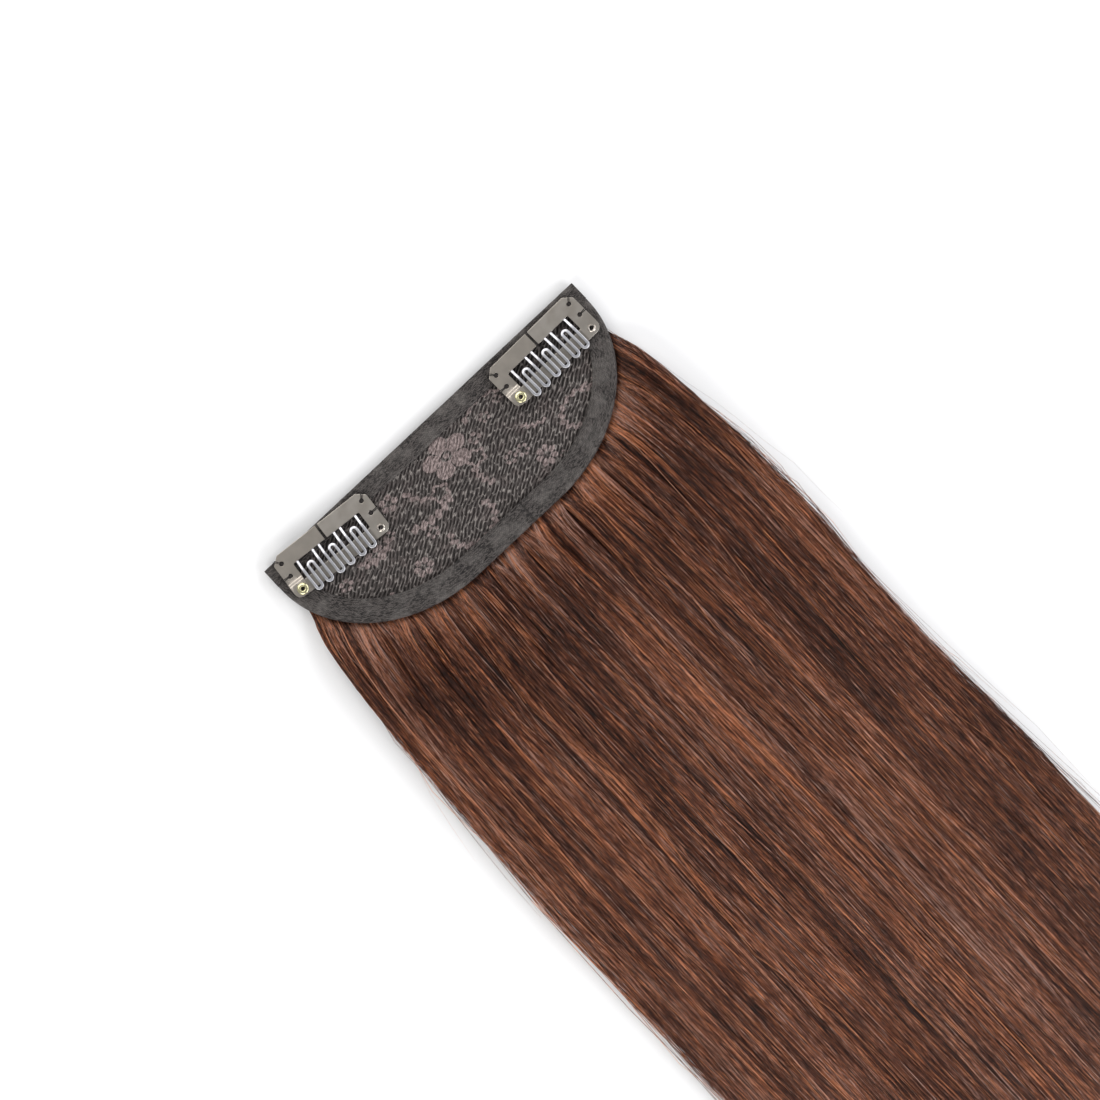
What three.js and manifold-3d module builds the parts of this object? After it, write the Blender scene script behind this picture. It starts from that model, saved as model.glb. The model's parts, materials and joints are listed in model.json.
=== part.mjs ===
// Clip in hair extension: a half moon weft of straight hair on a lace base, laid hair side down,
// with two steel snap comb clips sewn along the straight edge.
// Millimetres, +Z up. The straight edge runs along X, the hair flows to -Y, and the clips face +Z.
import * as THREE from 'three';
import { mergeVertices } from 'three/addons/utils/BufferGeometryUtils.js';
import Module from 'manifold-3d';

const wasm = await Module();
wasm.setup();

// Whole weft
const hairReach = 356; // longest tip, measured from the lowest point of the curved edge
const baseTiltDeg = 6.5; // the curved edge of the base lies up on the hair
const baseFoot = 0.5; // straight edge of the lace above the surface it lies on
const softGap = 0.3; // between cloth, hair and what touches them
const metalGap = 0.15; // between the clip's own pieces

// Lace base, a half moon
const baseWidth = 137;
const baseDepth = 49;
const baseEndDepth = 8; // short straight end before the curve starts
const baseFlatWidth = 36; // nearly straight stretch in the middle of the curved edge
const laceThickness = 1.2;
const laceInset = 0.8; // the binding tape stands past the lace by this much

// Tapes
const tapeThickness = 1;
const topTapeWidth = 7;
const edgeTapeWidth = 8;

// Clip, one stamped sheet in two halves
const clipLength = 38;
const clipDepth = 16.2;
const sheetThickness = 0.5;
const barDepth = 5.5;
const armWidth = 5.5;
const slitWidth = 0.9; // between the two halves of the back bar
const cornerCutLength = 2.8;
const cornerCutDepth = 2.4;
const armCornerRadius = 2.4;
const crossBarWidth = 4.5;
const crossBarEndInset = 1; // of the cross bar's round end, from the arm's outer edge
const stitchHoleRadius = 0.8;
const backHoleFromEnd = 2.5;
const backHoleFromBack = 3.1;
const sideHoleFromEnd = 2.4;
const sideHoleFromBack = 8.1;
const frontHoleRadius = 0.75;
const frontHoleFromEnd = 2.8;
const rimWidth = 0.6;
const rimHeight = 0.25;
const stepLength = 1.6; // in which the eyelet's arm steps up over the cross bar

// Eyelet
const eyeletHoleRadius = 0.75;
const eyeletBarrelWall = 0.35;
const eyeletFlangeRadius = 1.95;
const eyeletFlangeThickness = 0.25;

// Comb, three serpentine strips
const combCount = 3;
const toothWidth = 0.95;
const sideSlot = 1.1; // between the comb and each arm
const combSlot = 1.6; // between neighbouring combs
const toothOverhang = 1.7; // the tips reach past the cross bar by this much
const loopFromBar = 2.4; // inner loops stop this far in front of the bar
const rootGap = 0.3;
const archHeight = 1.25; // the teeth arch over the cross bar
const tipDrop = 0.75; // of the tips, below the top of the arch

// Where each clip is sewn
const clipRows = [
  { name: 'left_clip', side: -1, fromEnd: 3.7, fromEdge: 1, turnDeg: -5 },
  { name: 'right_clip', side: 1, fromEnd: 3.1, fromEdge: 2.3, turnDeg: 1.3 },
];

// Hair
const backingInset = 4; // of the hair bed, from the outline of the base
const rootInset = 9; // of the outermost lock's root, from the end of the base
const fullOverhang = 5; // of the outermost lock's middle, past the end of the base
const tipOverhang = 8; // of the outermost lock's tip
const lockWidth = 13.5;
const lockTipWidth = 4.5;
const lockHeight = 7.4; // where the hair is fullest
const lockTipHeight = 1.6;
const lockSteps = 10;

// One row for each lock, from the left. place is its share of the half width, reach of the hair's
// length, bulk of the lock's height, and sway is how far its tip drifts sideways.
const lockRows = [
  { place: -1, reach: 0.9, bulk: 0.72, sway: 0 },
  { place: -0.87, reach: 0.955, bulk: 0.88, sway: -2 },
  { place: -0.74, reach: 0.93, bulk: 0.95, sway: 3 },
  { place: -0.62, reach: 0.985, bulk: 0.86, sway: 0 },
  { place: -0.5, reach: 0.95, bulk: 1, sway: -3 },
  { place: -0.37, reach: 0.995, bulk: 0.9, sway: 2 },
  { place: -0.25, reach: 0.965, bulk: 0.97, sway: -1 },
  { place: -0.12, reach: 0.99, bulk: 0.88, sway: 3 },
  { place: 0, reach: 0.96, bulk: 1, sway: -2 },
  { place: 0.12, reach: 1, bulk: 0.9, sway: 1 },
  { place: 0.25, reach: 0.97, bulk: 0.98, sway: 3 },
  { place: 0.37, reach: 0.985, bulk: 0.88, sway: -2 },
  { place: 0.5, reach: 0.945, bulk: 0.99, sway: 2 },
  { place: 0.62, reach: 0.975, bulk: 0.87, sway: -1 },
  { place: 0.74, reach: 0.935, bulk: 0.95, sway: 2 },
  { place: 0.87, reach: 0.96, bulk: 0.85, sway: 1 },
  { place: 1, reach: 0.91, bulk: 0.72, sway: 0 },
];

// Section of a lock, flat below and rounded on top, as shares of its width and height
const lockSection = [
  [-0.5, 0],
  [0.5, 0],
  [0.47, 0.45],
  [0.26, 0.87],
  [0, 1],
  [-0.26, 0.87],
  [-0.47, 0.45],
];

const arcSteps = 12;
const ringSteps = 14;
const bendSteps = 5;

// Worked out from the sizes above
const baseTilt = THREE.MathUtils.degToRad(baseTiltDeg);
const tapeTop = laceThickness + softGap + tapeThickness;
const clipLift = tapeTop + softGap + eyeletFlangeThickness + metalGap;
const windowHalf = clipLength / 2 - armWidth;
const crossBarBack = clipDepth - crossBarWidth;
const eyeletX = -(clipLength / 2 - crossBarEndInset - crossBarWidth / 2);
const eyeletY = -(clipDepth - crossBarWidth / 2);
const stepRise = sheetThickness + metalGap;
const eyeletBarrelRadius = eyeletHoleRadius + eyeletBarrelWall;

const steel = () => new THREE.MeshStandardMaterial({ color: 0x9a958c, roughness: 0.32, metalness: 1 });
const brass = () => new THREE.MeshStandardMaterial({ color: 0xd8cf84, roughness: 0.25, metalness: 1 });
const laceCloth = () => new THREE.MeshStandardMaterial({ color: 0x4a4442, roughness: 0.9, metalness: 0 });
const tapeCloth = () => new THREE.MeshStandardMaterial({ color: 0x4f4b49, roughness: 0.85, metalness: 0 });
const hairFibre = () => new THREE.MeshStandardMaterial({ color: 0x3d2018, roughness: 0.5, metalness: 0 });

function toSolid(geometry) {
  const bare = geometry.clone();
  bare.deleteAttribute('normal');
  bare.deleteAttribute('uv');
  const merged = mergeVertices(bare, 1e-4);
  const vertProperties = new Float32Array(merged.attributes.position.array);
  const triVerts = new Uint32Array(merged.index.array);
  return new wasm.Manifold(new wasm.Mesh({ numProp: 3, vertProperties, triVerts }));
}

function toGeometry(solid) {
  const mesh = solid.getMesh();
  const geometry = new THREE.BufferGeometry();
  geometry.setAttribute('position', new THREE.BufferAttribute(mesh.vertProperties, 3));
  geometry.setIndex(new THREE.BufferAttribute(mesh.triVerts, 1));
  geometry.computeVertexNormals();
  return geometry;
}

function fuse(geometries) {
  return toGeometry(geometries.map(toSolid).reduce((sum, solid) => sum.add(solid)));
}

function named(name, geometry, material) {
  const mesh = new THREE.Mesh(geometry, material);
  mesh.name = name;
  return mesh;
}

// Extrudes a plan upwards from z = bottom
function slab(shape, thickness, bottom = 0) {
  const geometry = new THREE.ExtrudeGeometry(shape, { depth: thickness, bevelEnabled: false, curveSegments: arcSteps });
  geometry.translate(0, 0, bottom);
  return geometry;
}

function moveVertices(geometry, place) {
  const position = geometry.attributes.position;
  const point = new THREE.Vector3();
  for (let i = 0; i < position.count; i += 1) {
    point.fromBufferAttribute(position, i);
    place(point);
    position.setXYZ(i, point.x, point.y, point.z);
  }
  geometry.computeVertexNormals();
  return geometry;
}

// Depth of the base's curved edge at x, with the outline pulled in by inset
function edgeDepth(x, inset = 0) {
  const across = Math.max(0, Math.abs(x) - baseFlatWidth / 2);
  const reach = (baseWidth - baseFlatWidth) / 2 - inset;
  const share = Math.min(1, across / reach);
  return baseEndDepth + (baseDepth - baseEndDepth - inset) * Math.sqrt(1 - share * share);
}

// The half moon below the line y = -top, pulled in by inset
function halfMoon(inset, top) {
  const half = baseWidth / 2 - inset;
  const flat = baseFlatWidth / 2;
  const reachX = half - flat;
  const reachY = baseDepth - baseEndDepth - inset;
  const shape = new THREE.Shape();
  shape.moveTo(-half, -top);
  shape.lineTo(-half, -baseEndDepth);
  shape.absellipse(-flat, -baseEndDepth, reachX, reachY, Math.PI, 1.5 * Math.PI, false);
  shape.lineTo(flat, -baseEndDepth - reachY);
  shape.absellipse(flat, -baseEndDepth, reachX, reachY, 1.5 * Math.PI, 2 * Math.PI, false);
  shape.lineTo(half, -top);
  shape.closePath();
  return shape;
}

function laceBase() {
  return slab(halfMoon(laceInset, laceInset), laceThickness);
}

function topTape() {
  const half = baseWidth / 2;
  const shape = new THREE.Shape();
  shape.moveTo(-half, 0);
  shape.lineTo(-half, -topTapeWidth);
  shape.lineTo(half, -topTapeWidth);
  shape.lineTo(half, 0);
  shape.closePath();
  return slab(shape, tapeThickness, laceThickness + softGap);
}

// Binding along the curved edge, butted against the top tape at both ends
function edgeTape() {
  const bottom = laceThickness + softGap;
  const start = topTapeWidth + softGap;
  const outer = toSolid(slab(halfMoon(0, start), tapeThickness, bottom));
  const inner = toSolid(slab(halfMoon(edgeTapeWidth, 0), 3 * tapeThickness, bottom - tapeThickness));
  return toGeometry(outer.subtract(inner));
}

function ring(x, y, radius) {
  const hole = new THREE.Path();
  hole.absarc(x, y, radius, 0, 2 * Math.PI, true);
  return hole;
}

// Sewing holes of one arm; side is -1 on the left and 1 on the right
function sewingHoles(side) {
  return [
    ring(side * (clipLength / 2 - backHoleFromEnd), -backHoleFromBack, stitchHoleRadius),
    ring(side * (clipLength / 2 - sideHoleFromEnd), -sideHoleFromBack, stitchHoleRadius),
  ];
}

// Half of the back bar with its arm. The arm is the eyelet's: its front end steps up over the
// cross bar.
function eyeletPlate() {
  const end = -clipLength / 2;
  const stepEnd = crossBarBack - metalGap;
  const stepStart = stepEnd - stepLength;

  const bar = new THREE.Shape();
  bar.moveTo(-slitWidth / 2, 0);
  bar.lineTo(end + cornerCutLength, 0);
  bar.lineTo(end, -cornerCutDepth);
  bar.lineTo(end, -stepStart);
  bar.lineTo(-windowHalf, -stepStart);
  bar.lineTo(-windowHalf, -barDepth);
  bar.lineTo(-slitWidth / 2, -barDepth);
  bar.closePath();
  bar.holes.push(...sewingHoles(-1));

  const step = new THREE.BoxGeometry(armWidth, stepLength, sheetThickness);
  step.translate(end + armWidth / 2, -stepStart - stepLength / 2, sheetThickness / 2);
  moveVertices(step, (point) => {
    point.z += point.y < -stepStart - stepLength / 2 ? stepRise : 0;
  });

  const pad = new THREE.Shape();
  pad.moveTo(end, -stepEnd);
  pad.lineTo(end, -clipDepth + armCornerRadius);
  pad.absarc(end + armCornerRadius, -clipDepth + armCornerRadius, armCornerRadius, Math.PI, 1.5 * Math.PI, false);
  pad.lineTo(-windowHalf, -clipDepth);
  pad.lineTo(-windowHalf, -stepEnd);
  pad.closePath();
  pad.holes.push(ring(eyeletX, eyeletY, eyeletBarrelRadius + metalGap));
  return fuse([slab(bar, sheetThickness), step, slab(pad, sheetThickness, stepRise)]);
}

// The other half of the back bar with its arm, which runs on into the cross bar under the teeth
function crossBarPlate() {
  const end = clipLength / 2;
  const endRadius = crossBarWidth / 2;
  const shape = new THREE.Shape();
  shape.moveTo(slitWidth / 2, 0);
  shape.lineTo(slitWidth / 2, -barDepth);
  shape.lineTo(windowHalf, -barDepth);
  shape.lineTo(windowHalf, -crossBarBack);
  shape.lineTo(eyeletX, -crossBarBack);
  shape.absarc(eyeletX, eyeletY, endRadius, 0.5 * Math.PI, 1.5 * Math.PI, false);
  shape.lineTo(end - armCornerRadius, -clipDepth);
  shape.absarc(end - armCornerRadius, -clipDepth + armCornerRadius, armCornerRadius, 1.5 * Math.PI, 2 * Math.PI, false);
  shape.lineTo(end, -cornerCutDepth);
  shape.lineTo(end - cornerCutLength, 0);
  shape.closePath();
  const rimX = end - frontHoleFromEnd;
  shape.holes.push(...sewingHoles(1), ring(eyeletX, eyeletY, eyeletBarrelRadius + metalGap));
  shape.holes.push(ring(rimX, eyeletY, frontHoleRadius));
  const outerRim = new THREE.Shape();
  outerRim.absarc(rimX, eyeletY, frontHoleRadius + rimWidth, 0, 2 * Math.PI, false);
  outerRim.holes.push(ring(rimX, eyeletY, frontHoleRadius));
  return fuse([slab(shape, sheetThickness), slab(outerRim, sheetThickness + rimHeight)]);
}

// Rolled tube through the arm and the cross bar's end, with a flange on each side
function eyelet() {
  const armTop = stepRise + sheetThickness;
  const low = -metalGap - eyeletFlangeThickness;
  const high = armTop + metalGap + eyeletFlangeThickness;
  const profile = [
    [eyeletHoleRadius, low],
    [eyeletFlangeRadius - eyeletFlangeThickness / 2, low],
    [eyeletFlangeRadius, low + eyeletFlangeThickness],
    [eyeletBarrelRadius, low + eyeletFlangeThickness],
    [eyeletBarrelRadius, high - eyeletFlangeThickness],
    [eyeletFlangeRadius, high - eyeletFlangeThickness],
    [eyeletFlangeRadius - eyeletFlangeThickness / 2, high],
    [eyeletHoleRadius, high],
    [eyeletHoleRadius, low],
  ];
  const geometry = new THREE.LatheGeometry(profile.map(([radius, height]) => new THREE.Vector2(radius, height)), ringSteps);
  geometry.rotateX(Math.PI / 2);
  return geometry;
}

// Height of the teeth's underside, from root to tip
function archAt(share) {
  const rise = archHeight * Math.sin(0.5 * Math.PI * Math.min(1, share * 3));
  return rise - tipDrop * share ** 6;
}

// One serpentine: down from the bar, round a tip, up, over an inner loop, down, round the second
// tip and back up to the bar.
function comb() {
  const pitch = (2 * windowHalf - 2 * sideSlot + combSlot) / combCount;
  const outerWidth = pitch - combSlot;
  const bend = (outerWidth - toothWidth) / 6; // radius of each turn, at the middle of the strip
  const root = barDepth + rootGap;
  const tip = clipDepth + toothOverhang;
  const tipCentre = tip - toothWidth / 2 - bend;
  const loopCentre = barDepth + loopFromBar + toothWidth / 2 + bend;
  const points = [];
  const straight = (x, from, to) => {
    const steps = Math.ceil(Math.abs(to - from) / 2);
    for (let i = 0; i < steps; i += 1) {
      points.push({ x, y: from + ((to - from) * i) / steps, side: [Math.sign(to - from), 0] });
    }
  };
  const turn = (x, y, way) => {
    for (let i = 0; i <= bendSteps; i += 1) {
      const angle = Math.PI * (1 - i / bendSteps);
      const outX = Math.cos(angle);
      const outY = way * Math.sin(angle);
      points.push({ x: x + bend * outX, y: y + bend * outY, side: [-way * outX, -way * outY] });
    }
  };
  straight(-3 * bend, root, tipCentre);
  turn(-2 * bend, tipCentre, 1);
  straight(-bend, tipCentre - 1, loopCentre + 1);
  turn(0, loopCentre, -1);
  straight(bend, loopCentre + 1, tipCentre - 1);
  turn(2 * bend, tipCentre, 1);
  straight(3 * bend, tipCentre - 1, root);
  points.push({ x: 3 * bend, y: root, side: [-1, 0] });
  const length = points.length - 1;
  const strip = new THREE.BoxGeometry(1, 1, 1, 1, length, 1);
  moveVertices(strip, (point) => {
    const { x, y, side } = points[Math.round((point.y + 0.5) * length)];
    const across = -point.x * toothWidth;
    const forward = y + across * side[1];
    const share = THREE.MathUtils.clamp((forward - root) / (tip - root), 0, 1);
    point.set(x + across * side[0], -forward, archAt(share) + (point.z + 0.5) * sheetThickness);
  });
  return { geometry: strip, pitch };
}

function clip({ name, side, fromEnd, fromEdge, turnDeg }) {
  const assembly = new THREE.Group();
  assembly.add(named(`${name}_eyelet_plate`, eyeletPlate(), steel()));
  assembly.add(named(`${name}_cross_bar_plate`, crossBarPlate(), steel()));
  const ringMesh = named(`${name}_eyelet`, eyelet(), brass());
  ringMesh.position.set(eyeletX, eyeletY, 0);
  assembly.add(ringMesh);
  const { geometry, pitch } = comb();
  for (let i = 0; i < combCount; i += 1) {
    const strip = named(`${name}_comb_${i + 1}`, geometry.clone(), steel());
    strip.position.x = (i - (combCount - 1) / 2) * pitch;
    assembly.add(strip);
  }
  assembly.position.set(side * (baseWidth / 2 - fromEnd - clipLength / 2), -fromEdge, clipLift);
  assembly.rotation.z = THREE.MathUtils.degToRad(turnDeg);
  return assembly;
}

// Top of the hair at a depth behind or in front of the curved edge, for a lock of this bulk
function hairTop(depth, share, bulk) {
  const underBase = baseFoot + depth * Math.sin(baseTilt) - softGap;
  const past = THREE.MathUtils.clamp((depth - baseDepth) / (3 * lockHeight), 0, 1);
  const full = THREE.MathUtils.lerp(underBase, lockHeight * bulk, past);
  return THREE.MathUtils.lerp(full, lockTipHeight, THREE.MathUtils.smoothstep(share, 0.3, 1));
}

function lock({ place, reach, bulk, sway }) {
  const rootX = place * (baseWidth / 2 - rootInset);
  const fullX = place * (baseWidth / 2 + fullOverhang - lockWidth / 2);
  const tipX = place * (baseWidth / 2 + tipOverhang - lockWidth / 2) + sway;
  const start = 0.4 * edgeDepth(rootX);
  const end = baseDepth + hairReach * reach;
  const section = new THREE.Shape(lockSection.map(([x, y]) => new THREE.Vector2(x, y)));
  const strip = new THREE.ExtrudeGeometry(section, { depth: 1, steps: lockSteps, bevelEnabled: false });
  return moveVertices(strip, (point) => {
    const share = 0.5 - 0.5 * Math.cos(Math.PI * point.z);
    const depth = THREE.MathUtils.lerp(start, end, share);
    const spread = THREE.MathUtils.smoothstep(depth, start, 2 * baseDepth);
    const drift = THREE.MathUtils.smoothstep(share, 0.2, 1);
    const centre = THREE.MathUtils.lerp(THREE.MathUtils.lerp(rootX, fullX, spread), tipX, drift);
    const width = THREE.MathUtils.lerp(lockWidth, lockTipWidth, share ** 9);
    point.set(centre + point.x * width, -depth, point.y * hairTop(depth, share, bulk));
  });
}

// Bed of hair under the base, a wedge between the lace and the surface below
function hairBed() {
  const bed = slab(halfMoon(backingInset, backingInset), 1);
  return moveVertices(bed, (point) => {
    point.z *= baseFoot - point.y * Math.sin(baseTilt) - softGap;
  });
}

const base = new THREE.Group();
base.add(named('lace_base', laceBase(), laceCloth()));
base.add(named('top_tape', topTape(), tapeCloth()));
base.add(named('edge_tape', edgeTape(), tapeCloth()));
clipRows.forEach((row) => base.add(clip(row)));
base.position.z = baseFoot;
base.rotation.x = -baseTilt;

const weft = new THREE.Group();
weft.add(base);
weft.add(named('hair', fuse([hairBed(), ...lockRows.map(lock)]), hairFibre()));

// The origin is the middle of the weft's outline, on the surface it lies on
const group = new THREE.Group();
group.add(weft);
group.updateMatrixWorld(true);
const bounds = new THREE.Box3().setFromObject(weft, true);
const middle = bounds.getCenter(new THREE.Vector3());
weft.position.set(-middle.x, -middle.y, -bounds.min.z);

export default group;
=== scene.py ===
"""Half moon clip in hair weft: lace base, woven tapes, two snap comb clips and long straight hair."""

import json
import math

import bmesh
import bpy
import numpy as np
from bpy.props import FloatProperty, FloatVectorProperty, IntProperty, PointerProperty
from mathutils import Matrix, Vector


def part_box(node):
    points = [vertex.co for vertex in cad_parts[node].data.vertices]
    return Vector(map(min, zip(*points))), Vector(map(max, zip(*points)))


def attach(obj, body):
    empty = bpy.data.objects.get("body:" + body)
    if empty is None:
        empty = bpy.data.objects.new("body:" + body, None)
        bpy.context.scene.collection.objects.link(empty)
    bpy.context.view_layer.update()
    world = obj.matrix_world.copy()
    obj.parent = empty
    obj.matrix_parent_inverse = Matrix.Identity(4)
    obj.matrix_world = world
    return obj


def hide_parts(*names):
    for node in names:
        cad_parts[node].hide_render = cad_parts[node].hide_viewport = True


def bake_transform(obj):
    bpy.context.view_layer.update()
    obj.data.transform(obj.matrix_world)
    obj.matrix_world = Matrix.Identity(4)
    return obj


bl_info = {
    "name": "Clip In Hair Weft",
    "version": (1, 0, 0),
    "blender": (4, 5, 0),
    "location": "3D View > Sidebar > Weft",
    "description": "Makes a half moon hair weft with a lace base, tapes and snap comb clips",
    "category": "Object",
}

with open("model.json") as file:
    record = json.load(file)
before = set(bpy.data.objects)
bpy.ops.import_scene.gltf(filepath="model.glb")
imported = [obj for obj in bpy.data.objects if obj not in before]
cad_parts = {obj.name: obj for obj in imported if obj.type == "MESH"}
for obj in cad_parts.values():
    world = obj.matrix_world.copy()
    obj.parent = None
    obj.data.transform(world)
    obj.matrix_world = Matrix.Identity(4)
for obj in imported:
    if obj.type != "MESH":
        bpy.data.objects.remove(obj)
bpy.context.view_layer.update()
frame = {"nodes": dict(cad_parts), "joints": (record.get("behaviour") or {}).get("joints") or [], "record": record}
MM = 0.001
CLIPS = {"left": frame["joints"][0], "right": frame["joints"][1]}


def turned_box(node, turn):
    """Lowest and highest corner of a CAD node along the axes in the columns of turn, in metres."""
    points = np.array([vertex.co for vertex in frame["nodes"][node].data.vertices], float)
    turned = points @ np.array(turn)
    return turned.min(0), turned.max(0)


def millimetre_frame(turn, corner):
    """Matrix from millimetres along the axes in turn, counted from corner, to the part's frame."""
    place = (turn * MM).to_4x4()
    place.translation = turn @ Vector(corner)
    return place


# The base lies in a plane that rises towards the curved edge
LIFT = Vector(frame["record"]["mounts"][1]["axis"]).normalized()
BASE_TURN = Matrix((Vector((1, 0, 0)), LIFT.cross(Vector((1, 0, 0))), LIFT)).transposed()
tape_low, tape_high = turned_box("top_tape", BASE_TURN)
lace_low = turned_box("lace_base", BASE_TURN)[0]
edge_low = turned_box("edge_tape", BASE_TURN)[0]
BASE = millimetre_frame(BASE_TURN, (0, tape_high[1], lace_low[2]))
BASE_LINE = BASE.translation.y / MM
BASE_FOOT = BASE.translation.z / MM
SLOPE = LIFT.y

# Base, in millimetres across, in front of the straight edge and above the lace's underside
BASE_HALF = tape_high[0] / MM
BASE_DEPTH = (tape_high[1] - edge_low[1]) / MM
TOP_TAPE_WIDTH = (tape_high[1] - tape_low[1]) / MM
TAPE_FOOT = (tape_low[2] - lace_low[2]) / MM
TAPE_TOP = (tape_high[2] - lace_low[2]) / MM
BASE_END_DEPTH = 8
BASE_FLAT_HALF = 18
EDGE_TAPE_WIDTH = 8
TAPE_SEAM = TOP_TAPE_WIDTH + 0.05
LACE_INSET = 1.4
LACE_FOOT = 0.9
LACE_FACE = 1.3
LAP_SPOT = 8.2
LAP_RISE = 0.45
LAP_FADE = (-60, -40)
FACE_SINK = 0.12
STITCH_LEVEL = TAPE_TOP - 0.25

# Clip, in millimetres from the middle of its back edge
CLIP_HALF = 19
CLIP_DEPTH = 16.2
SHEET = 0.5
SHEET_ROUND = 0.09
BAR_DEPTH = 5.5
WINDOW_HALF = 13.5
SLIT_HALF = 0.45
CUT_ROUND = 0.7
SMALL_ROUND = 0.3
WINDOW_ROUND = 0.4
EYELET_END_ROUND = 2.2
CRISP_ANGLE = math.radians(12)
CROSS_BAR_BACK = 11.7
CORNER_CUT_LENGTH = 2.8
CORNER_CUT_DEPTH = 2.4
ARM_CORNER_ROUND = 2.4
STEP_RISE = 0.65
STEP_START = 9.95
STEP_END = 11.55
EYELET_SPOT = (-15.75, -13.95)
EYELET_CLEARANCE = 1.25
FRONT_HOLE_SPOT = (16.2, -13.95)
FRONT_HOLE_RADIUS = 0.75
STITCH_HOLE_RADIUS = 0.8
CORNER_HOLE_SPOT = (16.5, -3.1)
SIDE_HOLE_SPOT = (16.6, -8.1)
RIM_SIDES = 40
FRONT_HOLE_RIM = (
    (0.74, 0.1), (0.74, 0.6), (0.8, 0.7), (0.95, 0.76), (1.12, 0.74), (1.28, 0.63), (1.38, 0.5), (1.42, 0.4)
)
EYELET_SIDES = 44
EYELET_TOP = 1.24
EYELET_FOOT = -0.09
EYELET_TUBE = 1.1
EYELET_FLANGE = (
    (0.72, 0), (0.74, 0.16), (0.86, 0.27), (1.08, 0.31), (1.4, 0.26), (1.7, 0.15), (1.9, 0), (1.93, -0.08)
)

# Comb, one serpentine strip
TOOTH_WIDTH = 0.95
TOOTH_SHEET = 0.46
TOOTH_ROUND = 0.21
COMB_PITCH = 8.8
COMB_BEND = 1.0417
COMB_ROOT = 5.2
COMB_RISE_START = 5.8
COMB_TIP = 17.9
LOOP_FROM_BAR = 2.4
ARCH_HEIGHT = 1.25
TIP_DROP = 0.75

# Hair, in millimetres
hair_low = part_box("hair")[0]
HAIR_REACH = BASE_LINE - hair_low.y / MM - BASE_DEPTH
ROOT_INSET = 9
FULL_OVERHANG = 5
TIP_OVERHANG = 8
LOCK_WIDTH = 13.5
LOCK_TIP_WIDTH = 4.5
LOCK_HEIGHT = 7.4
LOCK_TIP_HEIGHT = 1.6
ROOT_HALF = BASE_HALF - ROOT_INSET
FULL_HALF = BASE_HALF + FULL_OVERHANG - LOCK_WIDTH / 2
TIP_HALF = BASE_HALF + TIP_OVERHANG - LOCK_WIDTH / 2
SOFT_GAP = 0.3
CLUMPS_PER_LOCK = 16
CLUMPS_PER_TUFT = 5
FLYAWAY_THICKNESS = 0.55
FLYAWAY_RISE = 0.5
FLYAWAY_LIGHTER = 0.2
RINGS = np.array((0, 0.013, 0.027, 0.045, 0.07, 0.11, 0.17, 0.27, 0.41, 0.59, 0.79, 1))
TAPER = np.array((0.8, 1, 1, 1, 1, 1, 1, 1, 1, 0.95, 0.85, 0.25))

# Locks: place as a share of the half width, reach as a share of the hair's length,
# bulk as a share of the full height, and drift of the tip in millimetres
LOCKS = np.array((
    (-1, 0.9, 0.72, 0), (-0.87, 0.955, 0.88, -2), (-0.74, 0.93, 0.95, 3), (-0.62, 0.985, 0.86, 0),
    (-0.5, 0.95, 1, -3), (-0.37, 0.995, 0.9, 2), (-0.25, 0.965, 0.97, -1), (-0.12, 0.99, 0.88, 3),
    (0, 0.96, 1, -2), (0.12, 1, 0.9, 1), (0.25, 0.97, 0.98, 3), (0.37, 0.985, 0.88, -2),
    (0.5, 0.945, 0.99, 2), (0.62, 0.975, 0.87, -1), (0.74, 0.935, 0.95, 2), (0.87, 0.96, 0.85, 1),
    (1, 0.91, 0.72, 0),
))
PLACE, REACH, BULK, SWAY = LOCKS.T

# Net of the lace
NET_TURN = math.radians(33)
NET_PITCH = 1.16
HOLE_STEP = 4.3
HOLE_STRAIGHT = 2.9
HOLE_RADIUS = 0.26

# Camera above the weft and the table below it, in millimetres
VIEW_MIDDLE = (4.0, 143.6)
VIEW_TURN = math.radians(-43.2)
VIEW_WIDTH = 356
VIEW_LEVEL = 5
LENS = 60
SENSOR = 36
FLOOR_HALF = 3000
FLOOR_DROP = 0.3


def linear(red, green, blue):
    """A display colour, 0 to 255, as the linear colour that shaders use."""
    shares = [channel / 255 for channel in (red, green, blue)]
    return [s / 12.92 if s <= 0.04045 else ((s + 0.055) / 1.055) ** 2.4 for s in shares]


def smooth(value, low, high):
    """0 below low, 1 above high and an eased step between them."""
    share = np.clip((value - low) / (high - low), 0, 1)
    return share * share * (3 - 2 * share)


def between(start, end, share):
    return start + (end - start) * share


def hump(distance, peak):
    """0 at the start, 1 at the peak and a slow fall beyond it."""
    return distance / peak * np.exp(1 - distance / peak)


def bell(offset, width):
    """1 where offset is 0, falling to nothing within a few widths on both sides."""
    return np.exp(-((offset / width) ** 2))


def edge_depth(x, inset=0):
    """Depth of the base's curved edge at x, with the outline pulled in by inset."""
    across = np.maximum(0, np.abs(x) - BASE_FLAT_HALF) / (BASE_HALF - BASE_FLAT_HALF - inset)
    return BASE_END_DEPTH + (BASE_DEPTH - BASE_END_DEPTH - inset) * np.sqrt(1 - np.minimum(1, across) ** 2)


def operation(name, flipped=False):
    def apply(self, other):
        return self.finish.math(name, *((other, self) if flipped else (self, other)))

    return apply


def maths_node(name):
    return staticmethod(lambda value, *others: value.finish.math(name, value, *others))


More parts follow.
